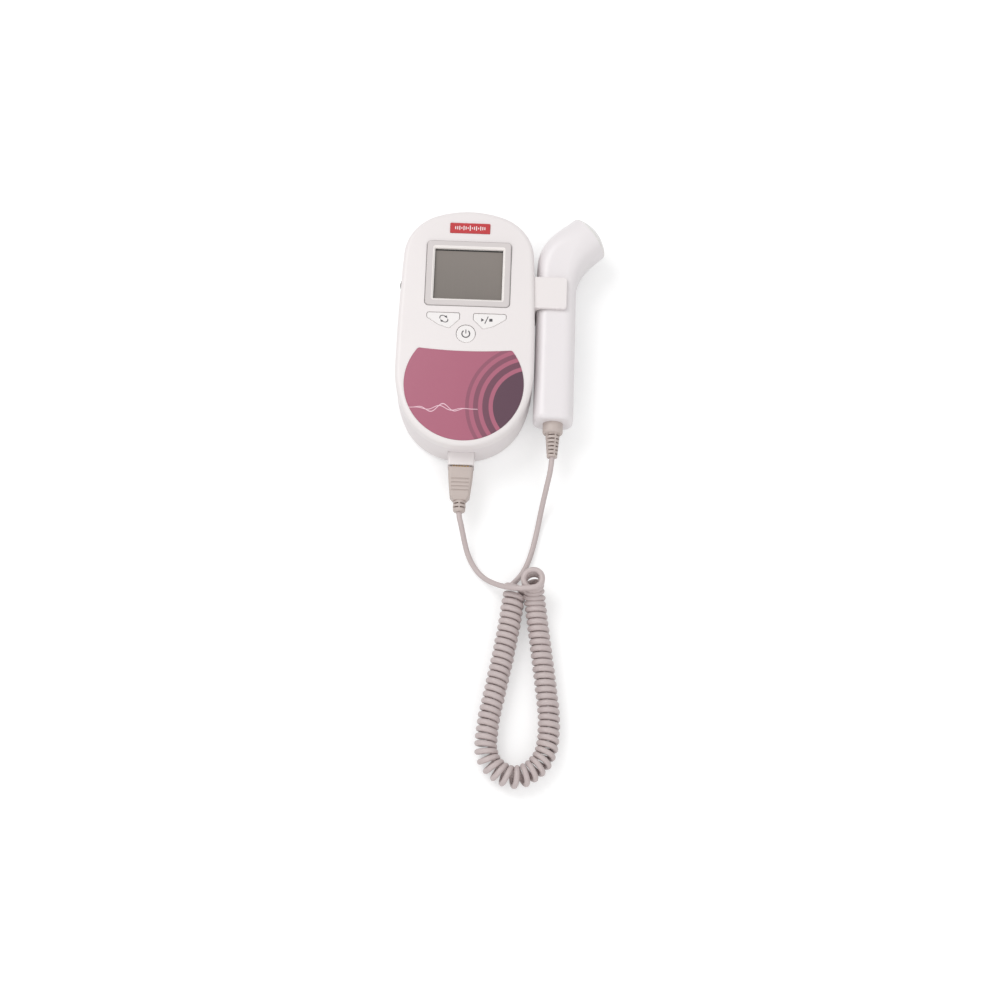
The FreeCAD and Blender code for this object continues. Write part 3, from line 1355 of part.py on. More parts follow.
HEAD_STATIONS = (
    # for each section of the head: how far the inner side has run straight and turned, how far the outer side
    # has, and how far the section has changed from the shaft's rounded rectangle towards the head's circle
    (-2.0, 0.0, -2.0, 0.0, 0.0), (0.0, 0.0, 0.0, 0.0, 0.0), (0.0, 10.0, 6.4, 0.0, 0.08),
    (0.0, 22.0, 14.4, 2.0, 0.25), (0.0, 37.0, 14.4, 25.0, 0.55), (0.0, 49.0, 14.4, 49.0, 0.85),
)


def bent_side(edge_x, straight, angle, radius):
    """A point on one side of the bending head, after a straight run and then a turn to the right."""
    turn = math.radians(angle)
    return edge_x + radius * (1 - math.cos(turn)), size("bend_y") + straight + radius * math.sin(turn)


def station_ends(station):
    """The inner and the outer point of one section of the head, in plan."""
    middle = size("probe_x")
    half = size("shaft_width") / 2
    if station is None:
        half = size("head_diameter") / 2
        lean = math.radians(float(size("head_lean")))
        x, y = size("head_x"), size("head_y")
        across = half * math.cos(lean)
        along = half * math.sin(lean)
        return (x + across, y - along), (x - across, y + along)
    in_run, in_angle, out_run, out_angle, _ = station
    return (bent_side(middle + half, in_run, in_angle, size("inner_bend")),
            bent_side(middle - half, out_run, out_angle, size("outer_bend")))


def upright_section(width, depth, corner):
    """A rounded rectangle that stands across the Y axis, as a wire."""
    half_w = width / 2
    half_d = depth / 2
    flat = Part.makePlane(width, depth, Vector(-half_w, -half_d, 0))
    solid = flat.extrude(Vector(0, 0, 1))
    solid = solid.makeFillet(corner, [edge for edge in solid.Edges if upright(edge)])
    face = [item for item in solid.Faces if abs(item.BoundBox.ZMax) < 1e-6][0]
    return face.OuterWire


def head_section(station, shrink):
    """One section of the probe's head, set in by an amount; None is the round end section."""
    (in_x, in_y), (out_x, out_y) = [(float(x), float(y)) for x, y in station_ends(station)]
    change = 1.0 if station is None else station[-1]
    wide = math.hypot(in_x - out_x, in_y - out_y)
    deep = float(size("shaft_depth")) * (1 - change) + float(size("head_diameter")) * change
    corner = float(size("shaft_corner")) * (1 - change) + min(wide, deep) / 2 * 0.97 * change
    section = add("Part::Feature", "section")
    section.Shape = upright_section(wide - 2 * shrink, deep - 2 * shrink, corner - shrink)
    lean = math.degrees(math.atan2(in_y - out_y, in_x - out_x))
    turn = Rotation(Vector(0, 0, 1), lean).multiply(Rotation(Vector(1, 0, 0), 90))
    section.Placement = Placement(Vector((in_x + out_x) / 2, (in_y + out_y) / 2, float(size("probe_z"))), turn)
    return section


def head_spot(offset):
    """Where something on the head's axis sits, some way in from the face, and how it is turned."""
    lean = math.radians(float(size("head_lean")))
    axis = Vector(math.sin(lean), math.cos(lean), 0)
    return (size("head_x") - offset * axis.x, size("head_y") - offset * axis.y, size("probe_z"),
            Rotation(Vector(0, 0, 1), axis))


def probe_solid(shrink, end_round):
    """The probe's whole body, set in by an amount: a rounded shaft and a lofted head."""
    wide = size("shaft_width") - shrink * 2
    deep = size("shaft_depth") - shrink * 2
    low = shrink - size("shaft_end")
    shaft = box(size("probe_x") - wide / 2, low, size("probe_z") - deep / 2, wide,
                size("bend_y") + HEAD_STATIONS[0][0] - low, deep)
    shaft = rounded(shaft, size("shaft_corner") - shrink, along_y)
    if end_round:
        end = float(low)
        shaft = rounded(shaft, size("shaft_end_round"), lambda edge: edge.BoundBox.YMax < end + 0.01)
    head = add("Part::Loft", "head")
    head.Sections = [head_section(station, float(shrink)) for station in HEAD_STATIONS + (None,)]
    head.Solid = True
    return fuse(shaft, head)


def probe_shell(side):
    """One half of the probe's case: side +1 is the front half."""
    wall = size("probe_wall")
    x = size("probe_x")
    z = size("probe_z")
    outer = probe_solid(Size.of(0), True)
    entry = rod(size("sleeve_radius") + size("entry_clearance"), 10, x, -size("shaft_end") - 4, z, ALONG_Y)
    shell = cut(outer, probe_solid(wall, False), entry)
    half = cut(shell, box(0, -100, z - 40 if side > 0 else z, 120, 220, 40))
    if side > 0:
        return half
    deep = size("shaft_depth") / 2
    floor = z - deep + wall / 2
    ribs = []
    first = size("probe_board_from_end") - size("shaft_end")
    for y in (first + size("probe_rib_inset"), first + size("probe_board_length") - size("probe_rib_inset")):
        ribs.append(block(size("shaft_width") - wall - 0.6, size("probe_rib_thick"),
                          z - size("probe_board_drop") - floor, x, y, floor))
    ribs = common(fuse(*ribs), probe_solid(wall / 2, False))
    return fuse(half, ribs)


def probe_face():
    """The domed face of the probe: a short rim, a shallow cap and a spigot inside the head."""
    face = rod(size("head_diameter") / 2, size("dome_rim"), 0, 0, 0)
    face = bevelled(face, size("dome_step"), flat_at(size("dome_rim")))
    cap_radius = size("head_diameter") / 2 - size("dome_step")
    ball_radius = (cap_radius * cap_radius + size("dome_rise") * size("dome_rise")) / (size("dome_rise") * 2)
    middle = size("dome_rim") + size("dome_rise") - ball_radius
    dome = add("Part::Sphere", "dome")
    bind(dome, "Radius", ball_radius)
    put(dome, 0, 0, middle)
    dome = common(dome, rod(cap_radius + 1, size("dome_rise") + 1, 0, 0, size("dome_rim") - 0.2))
    hollow = add("Part::Sphere", "hollow")
    bind(hollow, "Radius", ball_radius - size("dome_wall"))
    put(hollow, 0, 0, middle)
    hollow = common(hollow, rod(size("head_diameter") / 2 - 3.0, 20, 0, 0, -0.5))
    spigot_out = size("head_diameter") / 2 - size("probe_wall") - size("spigot_fit")
    spigot = cut(rod(spigot_out, size("spigot_length") + 0.2, 0, 0, -size("spigot_length")),
                 rod(spigot_out - size("spigot_wall"), 5, 0, 0, -size("spigot_length") - 0.7))
    return put(fuse(cut(fuse(face, dome), hollow), spigot), *head_spot(-0.02))


def transducer_crystals():
    """The two half discs that send and hear the sound."""
    disc = rod(size("head_diameter") / 2 - size("crystal_inset"), size("crystal_thick"), 0, 0, 0)
    split = block(size("crystal_split"), 40, 4, 0, 0, -1)
    return put(cut(disc, split), *head_spot(-0.4))


def transducer_backing():
    """The damping block behind the two half discs."""
    thick = size("backing_thick")
    return rod(size("head_diameter") / 2 - size("backing_inset"), thick, *head_spot(thick - 0.3))


def probe_board():
    """The probe's own small board with its chips, lying along the shaft."""
    x = size("probe_x")
    thick = size("probe_board_thick")
    low = size("probe_z") - size("probe_board_drop")
    first = size("probe_board_from_end") - size("shaft_end")
    length = size("probe_board_length")
    board = block(size("probe_board_width"), length, thick, x, first + length / 2, low)
    top = low + thick / 2
    chips = [block(5, 6, 2.0, x, first + 45, top), block(4, 4, 1.8, x - 3, first + 27, top),
             block(3, 5, 2.4, x + 3, first + 15, top)]
    return fuse(board, *chips)


def probe_relief():
    """The collar and the long slotted sleeve where the lead leaves the probe, turned a little on its axis."""
    sleeve = body()
    collar = size("collar_radius")
    start = size("collar_length")
    length = start + size("sleeve_length")
    turned(sleeve, ((0, -size("relief_spigot")), (size("sleeve_radius"), -size("relief_spigot")),
                    (size("sleeve_radius"), 0.02), (collar, 0.02), (collar, start),
                    (size("sleeve_radius"), start), (size("sleeve_tip_radius"), length), (0, length)))
    far = float(start)
    wide = float(collar)
    soften(sleeve, "Fillet", size("collar_round"), lambda edge: abs(edge.BoundBox.ZMin - far) < 0.01
           and edge.Closed and abs(edge.Curve.Radius - wide) < 0.01)
    x = size("probe_x")
    z = size("probe_z")
    put(sleeve, x, -size("shaft_end"), z, DOWN_Y)
    slots = fuse(*sleeve_slots(int(float(size("sleeve_rows"))), size("sleeve_pitch") / 2, size("sleeve_pitch"),
                               size("sleeve_slot"), Size.of(0), Size.of(0), Size.of(0), size("sleeve_radius")))
    slots.Placement = Placement(Vector(), Rotation(Vector(0, 1, 0), float(size("sleeve_turn"))))
    for axis, value in (("x", x), ("y", -size("shaft_end") - start), ("z", z)):
        bind(slots, "Placement.Base." + axis, value)
    return cut(sleeve, slots)


# ---------------------------------------------------------------- cord

def cord_tube(points, diameter):
    """A round cord along straight runs joined by tangent arcs."""
    spots = [Vector(*[float(value) for value in point]) for point in points]
    diameter = float(diameter)
    edges = []
    radii = []
    here = spots[0]
    for index in range(1, len(spots) - 1):
        before = spots[index] - spots[index - 1]
        after = spots[index + 1] - spots[index]
        turn = before.getAngle(after)
        reach = 0.45 * min(before.Length, after.Length)
        radius = reach / math.tan(turn / 2)
        radii.append(round(radius, 1))
        before.normalize()
        after.normalize()
        start = spots[index] - before * reach
        end = spots[index] + after * reach
        inward = after - before
        inward.normalize()
        centre = spots[index] + inward * (radius / math.cos(turn / 2))
        edges.append(Part.LineSegment(here, start).toShape())
        edges.append(Part.Arc(start, centre - inward * radius, end).toShape())
        here = end
    edges.append(Part.LineSegment(here, spots[-1]).toShape())
    path = Part.Wire(edges)
    circle = Part.Wire(Part.makeCircle(diameter / 2, spots[0], spots[1] - spots[0]))
    tube = path.makePipeShell([circle], True, False, 2)
    if tube.Volume < 0:
        tube.reverse()
    want = math.pi * diameter ** 2 / 4 * path.Length
    print(Work.part, "length", round(path.Length, 1), "tightest radius", min(radii),
          "volume against section", round(tube.Volume / want, 4))
    feature = add("Part::Feature", "tube")
    feature.Shape = tube
    return feature


def coil_points():
    """The coiled part's middle line, from the probe's side to the plug's side."""
    z = size("coil_diameter") / 2 + size("floor_gap")
    return [(30.6, -144.0, z), (29.1, -158.0, z), (23.8, -188.0, z), (18.4, -215.0, z), (18.1, -234.5, z),
            (33.3, -244.3, z), (48.6, -234.5, z), (51.6, -215.0, z), (48.2, -188.0, z), (43.9, -158.0, z),
            (42.2, -141.5, z)]


def coil_end(which, reach):
    """One end of the coil's middle line (0 or -1) and a point straight out of it, for a lead to join in line."""
    points = [Vector(*[float(value) for value in point]) for point in coil_points()]
    end = points[which]
    out = end - points[1 if which == 0 else -2]
    out.normalize()
    return tuple(end), tuple(end + out * reach)


def probe_lead():
    """The straight lead from the probe's sleeve to the coil's near end."""
    x = size("probe_x")
    z = size("cord_diameter") / 2 + size("floor_gap")
    tip = size("shaft_end") + size("collar_length") + size("sleeve_length")
    start, lead_in = coil_end(0, 5.2)
    return cord_tube([(x, -tip, size("probe_z")), (x, -tip - 6.0, size("probe_z")), (47.0, -89.0, 8.8),
                      (44.2, -104.0, z + 0.8), (40.8, -119.0, z), (34.8, -132.4, z + 0.8), lead_in, start],
                     size("cord_diameter"))


def coiled_cord():
    """The coiled part as one round of its outer diameter."""
    return cord_tube(coil_points(), size("coil_diameter"))


def plug_lead():
    """The straight lead from the coil's far end to the plug's sleeve."""
    z = size("cord_diameter") / 2 + size("floor_gap")
    end, lead_in = coil_end(-1, 5.2)
    tip = size("plug_end") + size("plug_relief_length")
    return cord_tube([(0, -tip, size("plug_z")), (0, -tip - 5.0, size("plug_z")), (2.4, -117.5, 7.4),
                      (8.2, -128.6, z + 0.6), (16.8, -136.4, z + 2.6), (26.2, -138.4, 8.8), (34.6, -133.8, 9.4),
                      (40.3, -130.9, 7.6), lead_in, end], size("cord_diameter"))


# ---------------------------------------------------------------- building

BUILDERS = (
    ("front_shell", front_shell), ("rear_shell", rear_shell), ("front_label", front_label),
    ("badge_plate", badge_plate), ("lcd_bezel", lcd_bezel), ("lcd_panel", lcd_panel),
    ("lcd_carrier", lcd_carrier), ("lcd_backlight", lcd_backlight), ("lcd_connector", lcd_connector),
    ("power_key", power_key), ("mode_key", lambda: side_key(-1)), ("play_key", lambda: side_key(1)),
    ("keypad_membrane", keypad_membrane), ("key_switches", key_switches), ("main_board", main_board),
    ("board_chips", board_chips), ("speaker_frame", speaker_frame), ("speaker_cone", speaker_cone),
    ("volume_wheel", volume_wheel), ("volume_pot", volume_pot), ("headphone_jack", headphone_jack),
    ("case_screws", case_screws), ("batteries", batteries), ("battery_springs", battery_springs),
    ("battery_tabs", battery_tabs), ("battery_door", battery_door), ("probe_socket", probe_socket),
    ("socket_contacts", socket_contacts), ("plug_body", ribbed_plug), ("plug_contacts", plug_contacts),
    ("plug_relief", plug_relief), ("probe_holder", probe_holder), ("holder_screws", holder_screws),
    ("probe_front_shell", lambda: probe_shell(1)), ("probe_rear_shell", lambda: probe_shell(-1)),
    ("probe_face", probe_face), ("transducer_crystals", transducer_crystals),
    ("transducer_backing", transducer_backing), ("probe_board", probe_board), ("probe_relief", probe_relief),
    ("probe_lead", probe_lead), ("coiled_cord", coiled_cord), ("plug_lead", plug_lead),
)


def check(thing):
    """Raises an error if an object failed or has no sound solid."""
    bad = [word for word in ("Invalid", "Error") if word in thing.State]
    shape = getattr(thing, "Shape", None)
    if bad or (thing in NODES and (shape.isNull() or not shape.isValid() or not shape.Solids)):
        raise RuntimeError("%s is not sound: %s" % (thing.Label, thing.State))


def main():
    """Builds every node, checks the document and writes the STEP files."""
    fill_sheet()
    derive_sizes()
    for name, builder in BUILDERS:
        Work.part = name
        piece = builder()
        piece.Label = name
        NODES.append(piece)
    DOC.recompute()
    for thing in DOC.Objects:
        check(thing)
    os.makedirs("parts", exist_ok=True)
    for piece in NODES:
        shape = piece.Shape
        bounds = shape.optimalBoundingBox(False)
        print("%-20s solids %d  x %.1f..%.1f  y %.1f..%.1f  z %.1f..%.1f  volume %.0f" % (
            piece.Label, len(shape.Solids), bounds.XMin, bounds.XMax, bounds.YMin, bounds.YMax, bounds.ZMin,
            bounds.ZMax, shape.Volume))
        shape.exportStep("parts/%s.step" % piece.Label)


main()
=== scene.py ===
"""Finishes, cord and markings of a pocket fetal doppler monitor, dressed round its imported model.

Lengths are in metres, in the model's own frame: the unit lies on its back, +X is right, +Y is towards its
top end and +Z comes out of its front face.
"""

import logging
import math
from bisect import bisect_right
from collections.abc import Iterator
from contextlib import contextmanager
from dataclasses import dataclass
from enum import Enum
from functools import cache

import bpy
from mathutils import Matrix, Vector


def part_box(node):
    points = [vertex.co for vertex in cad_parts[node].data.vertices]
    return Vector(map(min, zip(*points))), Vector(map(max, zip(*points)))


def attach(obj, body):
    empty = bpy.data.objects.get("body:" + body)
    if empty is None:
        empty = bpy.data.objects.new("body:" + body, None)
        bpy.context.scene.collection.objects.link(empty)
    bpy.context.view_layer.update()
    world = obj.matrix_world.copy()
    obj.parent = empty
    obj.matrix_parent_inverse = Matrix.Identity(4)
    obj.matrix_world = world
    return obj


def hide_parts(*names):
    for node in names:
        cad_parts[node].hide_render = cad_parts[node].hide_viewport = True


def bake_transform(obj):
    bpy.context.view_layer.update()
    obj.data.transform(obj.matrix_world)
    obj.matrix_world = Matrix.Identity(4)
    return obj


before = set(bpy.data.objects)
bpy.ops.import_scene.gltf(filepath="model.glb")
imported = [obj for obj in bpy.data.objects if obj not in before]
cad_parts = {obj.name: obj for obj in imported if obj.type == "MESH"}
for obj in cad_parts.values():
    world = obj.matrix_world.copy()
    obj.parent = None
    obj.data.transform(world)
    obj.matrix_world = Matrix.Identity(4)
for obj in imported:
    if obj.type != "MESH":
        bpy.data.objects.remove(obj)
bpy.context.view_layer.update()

MM = 0.001
LOG = logging.getLogger("doppler")
Colour = tuple[float, float, float, float]
Pair = tuple[float, float]
Triple = tuple[float, float, float]
Socket = bpy.types.NodeSocket
Sockets = bpy.types.bpy_prop_collection


def srgb(red: int, green: int, blue: int) -> Colour:
    """Turns an 8-bit display colour into the linear colour that shaders take, by the sRGB standard's curve.

    Args:
        red: Red, 0 to 255.
        green: Green, 0 to 255.
        blue: Blue, 0 to 255.

    Returns:
        The linear colour with full alpha.
    """
    linear = []
    for channel in (red, green, blue):
        share = channel / 255
        linear.append(share / 12.92 if share <= 0.04045 else ((share + 0.055) / 1.055) ** 2.4)
    return (linear[0], linear[1], linear[2], 1.0)


# ---------------------------------------------------------------- shader building


class Recipe:
    """Adds and joins the nodes of one material, world or node group."""

    # A Mix node's sockets for colours, which share their names with its other sockets.
    MIX_FIRST = 6
    MIX_SECOND = 7
    MIX_RESULT = 2

    def __init__(self, tree: bpy.types.NodeTree) -> None:
        """Takes the node tree to fill."""
        self.tree = tree

    def feed(self, target: Socket, value: object) -> None:
        """Gives an input its value.

        Args:
            target: The input.
            value: A number, vector or colour, or an output to join to it.
        """
        if isinstance(value, Socket):
            self.tree.links.new(value, target)
        else:
            target.default_value = value

    def add(self, kind: str, *values: object, **settings: object) -> bpy.types.Node:
        """Adds one node.

        Args:
            kind: The node's type name.
            *values: What its first inputs get, in their order.
            **settings: Properties of the node, or what its inputs get by name.

        Returns:
            The new node.
        """
        node = self.tree.nodes.new(kind)
        for name, setting in settings.items():
            if hasattr(node, name):
                setattr(node, name, setting)
            else:
                self.feed(node.inputs[name.replace("_", " ")], setting)
        for target, value in zip(node.inputs, values):
            self.feed(target, value)
        return node

    def math(self, operation: str, *values: object) -> Socket:
        """The result of a Math node on up to three numbers or outputs."""
        return self.add("ShaderNodeMath", *values, operation=operation).outputs[0]

    def noise(self, spot: Socket, scale: object, **settings: float) -> Socket:
        """A noise pattern from 0 to 1."""
        return self.add("ShaderNodeTexNoise", Vector=spot, Scale=scale, **settings).outputs["Fac"]

    def parts(self, vector: Socket) -> Sockets:
        """The X, Y and Z of a vector, by name."""
        return self.add("ShaderNodeSeparateXYZ", vector).outputs

    def blend(self, share: object, first: object, second: object) -> Socket:
        """Mixes two colours.

        Args:
            share: How much of the second colour shows, a number or an output.
            first: The first colour or its output.
            second: The second colour or its output.

        Returns:
            The mixed colour.
        """
        node = self.add("ShaderNodeMix", share, data_type="RGBA")
        self.feed(node.inputs[self.MIX_FIRST], first)
        self.feed(node.inputs[self.MIX_SECOND], second)
        return node.outputs[self.MIX_RESULT]

    def step_mask(self, value: Socket, low: float, high: float) -> Socket:
        """A soft step from 0 at low to 1 at high; low above high turns it round.

        Args:
            value: The output to read.
            low: Where the mask is 0.
            high: Where the mask is 1.

        Returns:
            The mask.
        """
        node = self.add("ShaderNodeMapRange", interpolation_type="SMOOTHSTEP", Value=value,
                        From_Min=min(low, high), From_Max=max(low, high),
                        To_Min=float(low > high), To_Max=float(low < high))
        return node.outputs["Result"]


class Effects:
    """The node groups that several finishes share, each built once."""

    PATCHES_PER_FLOW = 4.5
    STREAKS_PER_LINE = 0.12

    @staticmethod
    def _group(name: str, outputs: tuple[str, ...], **inputs: float) -> tuple[Recipe, Sockets]:
        """Starts a node group with its sockets.

        Args:
            name: The group's name.
            outputs: The names of its outputs, all numbers.
            **inputs: Its number inputs with their defaults, which come after an input called Vector.

        Returns:
            The group's recipe, and what the group is given, by name.
        """
        tree = bpy.data.node_groups.new(name, "ShaderNodeTree")
        tree.interface.new_socket("Vector", in_out="INPUT", socket_type="NodeSocketVector")
        for label, default in inputs.items():
            socket = tree.interface.new_socket(label.replace("_", " "), in_out="INPUT",
                                               socket_type="NodeSocketFloat")
            socket.default_value = default
        for label in outputs:
            tree.interface.new_socket(label, in_out="OUTPUT", socket_type="NodeSocketFloat")
        recipe = Recipe(tree)
        return recipe, recipe.add("NodeGroupInput").outputs

    @staticmethod
    @cache
    def moulded_skin() -> bpy.types.NodeTree:
        """The skin of a moulded plastic: eroded grain, slow flow marks and uneven gloss.

        Returns:
            The group, with outputs Height, Flow and Gloss, each from 0 to 1.
        """
        recipe, given = Effects._group("moulded skin", ("Height", "Flow", "Gloss"), Grain=4000.0,
                                       Flow_Size=40.0)
        spot = given["Vector"]
        patches = recipe.math("MULTIPLY", given["Flow Size"], Effects.PATCHES_PER_FLOW)
        recipe.add("NodeGroupOutput",
                   Height=recipe.noise(spot, given["Grain"], Detail=3.0, Roughness=0.6),
                   Flow=recipe.noise(spot, given["Flow Size"], Detail=2.0, Roughness=0.45, Distortion=0.4),
                   Gloss=recipe.noise(spot, patches, Detail=4.0, Roughness=0.55))
        return recipe.tree

    @staticmethod
    @cache
    def drawn_lines() -> bpy.types.NodeTree:
        """Fine lines all one way, as a rolled or drawn metal or a polarising film has.

        Returns:
            The group, with outputs Height and Streak, each from 0 to 1.
        """
        recipe, given = Effects._group("drawn lines", ("Height", "Streak"), Fineness=6000.0, Stretch=0.02)
        parts = recipe.parts(given["Vector"])
        long_way = recipe.math("MULTIPLY", parts["Y"], given["Stretch"])
        stretched = recipe.add("ShaderNodeCombineXYZ", parts["X"], long_way, parts["Z"]).outputs[0]
        streaks = recipe.math("MULTIPLY", given["Fineness"], Effects.STREAKS_PER_LINE)
        recipe.add("NodeGroupOutput", Height=recipe.noise(stretched, given["Fineness"], Detail=2.0),
                   Streak=recipe.noise(stretched, streaks, Detail=1.0))
        return recipe.tree

    @staticmethod
    @cache
    def rounded_frame() -> bpy.types.NodeTree:
        """How far a spot lies outside a rounded rectangle in plan, and below 0 how far inside.

        Returns:
            The group, with output Distance in metres.
        """
        recipe, given = Effects._group("rounded frame", ("Distance",), Middle=0.0, Half_Width=0.01,
                                       Half_Height=0.01, Corner=0.001)
        parts = recipe.parts(given["Vector"])
        along = recipe.math("SUBTRACT", parts["Y"], given["Middle"])
        sides = []
        for spot, half in ((parts["X"], given["Half Width"]), (along, given["Half Height"])):
            past = recipe.math("SUBTRACT", recipe.math("ABSOLUTE", spot), half)
            sides.append(recipe.math("ADD", past, given["Corner"]))
        out_x, out_y = (recipe.math("MAXIMUM", side, 0.0) for side in sides)
        corner = recipe.math("SQRT", recipe.math("ADD", recipe.math("MULTIPLY", out_x, out_x),
                                                 recipe.math("MULTIPLY", out_y, out_y)))
        inside = recipe.math("MINIMUM", recipe.math("MAXIMUM", *sides), 0.0)
        recipe.add("NodeGroupOutput", Distance=recipe.math("SUBTRACT", recipe.math("ADD", corner, inside),
                                                           given["Corner"]))
        return recipe.tree


class Surface(Recipe):
    """The recipe of one new material, with its shader and the object coordinates that its patterns read."""

    def __init__(self, name: str) -> None:
        """Starts the material.

        Args:
            name: The material's name.
        """
        self.material = bpy.data.materials.new(name)
        self.material.use_nodes = True
        super().__init__(self.material.node_tree)
        self.shader = self.tree.nodes["Principled BSDF"]
        self.spot = self.add("ShaderNodeTexCoord").outputs["Object"]

    def shade(self, **inputs: object) -> None:
        """Gives the shader's inputs their values or outputs, by name."""
        for name, value in inputs.items():
            self.feed(self.shader.inputs[name.replace("_", " ")], value)

    def bump(self, height: Socket, depth: float) -> Socket:
        """The normal of a surface with a relief of a given depth."""
        return self.add("ShaderNodeBump", Strength=1.0, Distance=depth, Height=height).outputs["Normal"]

    def drawn_lines(self, fineness: float, stretch: float) -> Sockets:
        """The outputs of the drawn lines on this surface.

        Args:
            fineness: How fine the lines are.
            stretch: How short their pattern is along them.

        Returns:
            The outputs Height and Streak.
        """
        lines = self.add("ShaderNodeGroup", node_tree=Effects.drawn_lines(), Vector=self.spot,
                         Fineness=fineness, Stretch=stretch)
        return lines.outputs


@dataclass(frozen=True)
class Outline:
    """A rounded rectangle on the front of the unit."""

    middle: float
    half_width: float
    half_height: float
    corner: float

    def distance(self, surface: Surface) -> Socket:
        """How far each spot of a surface lies outside the outline.

        Args:
            surface: The material's recipe.

        Returns:
            The distance, below 0 inside.
        """
        shape = surface.add("ShaderNodeGroup", node_tree=Effects.rounded_frame(), Vector=surface.spot,
                            Middle=self.middle, Half_Width=self.half_width, Half_Height=self.half_height,
                            Corner=self.corner)
        return shape.outputs["Distance"]


WINDOW = Outline(middle=29.4 * MM, half_width=18.6 * MM, half_height=15.1 * MM, corner=0.01 * MM)
BEZEL_EDGE = Outline(middle=29.4 * MM, half_width=23.2 * MM, half_height=19.5 * MM, corner=2.4 * MM)


@dataclass(frozen=True)
class MouldedPlastic:
    """A moulded plastic or rubber: two near colours that flow into each other, a gloss and a grain."""

    colour: Colour
    flow_colour: Colour
    roughness: float = 0.4
    roughness_spread: float = 0.12
    grain: float = 4000.0
    grain_depth: float = 0.02 * MM
    flow_size: float = 40.0
    specular: float = 0.5
    coat: float = 0.0
    coat_roughness: float = 0.1

    def paint(self, surface: Surface) -> Socket:
        """Paints the plain plastic.

        Args:
            surface: The material's recipe.

        Returns:
            The plain colour, for a print that goes over it.
        """
        skin = surface.add("ShaderNodeGroup", node_tree=Effects.moulded_skin(), Vector=surface.spot,
                           Grain=self.grain, Flow_Size=self.flow_size).outputs
        colour = surface.blend(skin["Flow"], self.colour, self.flow_colour)
        gloss = surface.math("MULTIPLY_ADD", skin["Gloss"], self.roughness_spread,
                             self.roughness - self.roughness_spread / 2)
        surface.shade(Base_Color=colour, Roughness=gloss, Specular_IOR_Level=self.specular,
                      Coat_Weight=self.coat, Coat_Roughness=self.coat_roughness,
                      Normal=surface.bump(skin["Height"], self.grain_depth))
        return colour


@dataclass(frozen=True)
class DrawnMetal:
    """A plated, rolled or drawn metal with fine lines one way."""

    colour: Colour
    streak_colour: Colour
    roughness: float = 0.28
    roughness_spread: float = 0.2
    fineness: float = 6000.0
    stretch: float = 0.03
    depth: float = 0.004 * MM

    def paint(self, surface: Surface) -> None:
        """Paints the metal.

        Args:
            surface: The material's recipe.
        """
        lines = surface.drawn_lines(self.fineness, self.stretch)
        gloss = surface.math("MULTIPLY_ADD", lines["Height"], self.roughness_spread,
                             self.roughness - self.roughness_spread / 2)
        colour = surface.blend(lines["Streak"], self.colour, self.streak_colour)
        surface.shade(Base_Color=colour, Metallic=1.0, Roughness=gloss,
                      Normal=surface.bump(lines["Height"], self.depth))


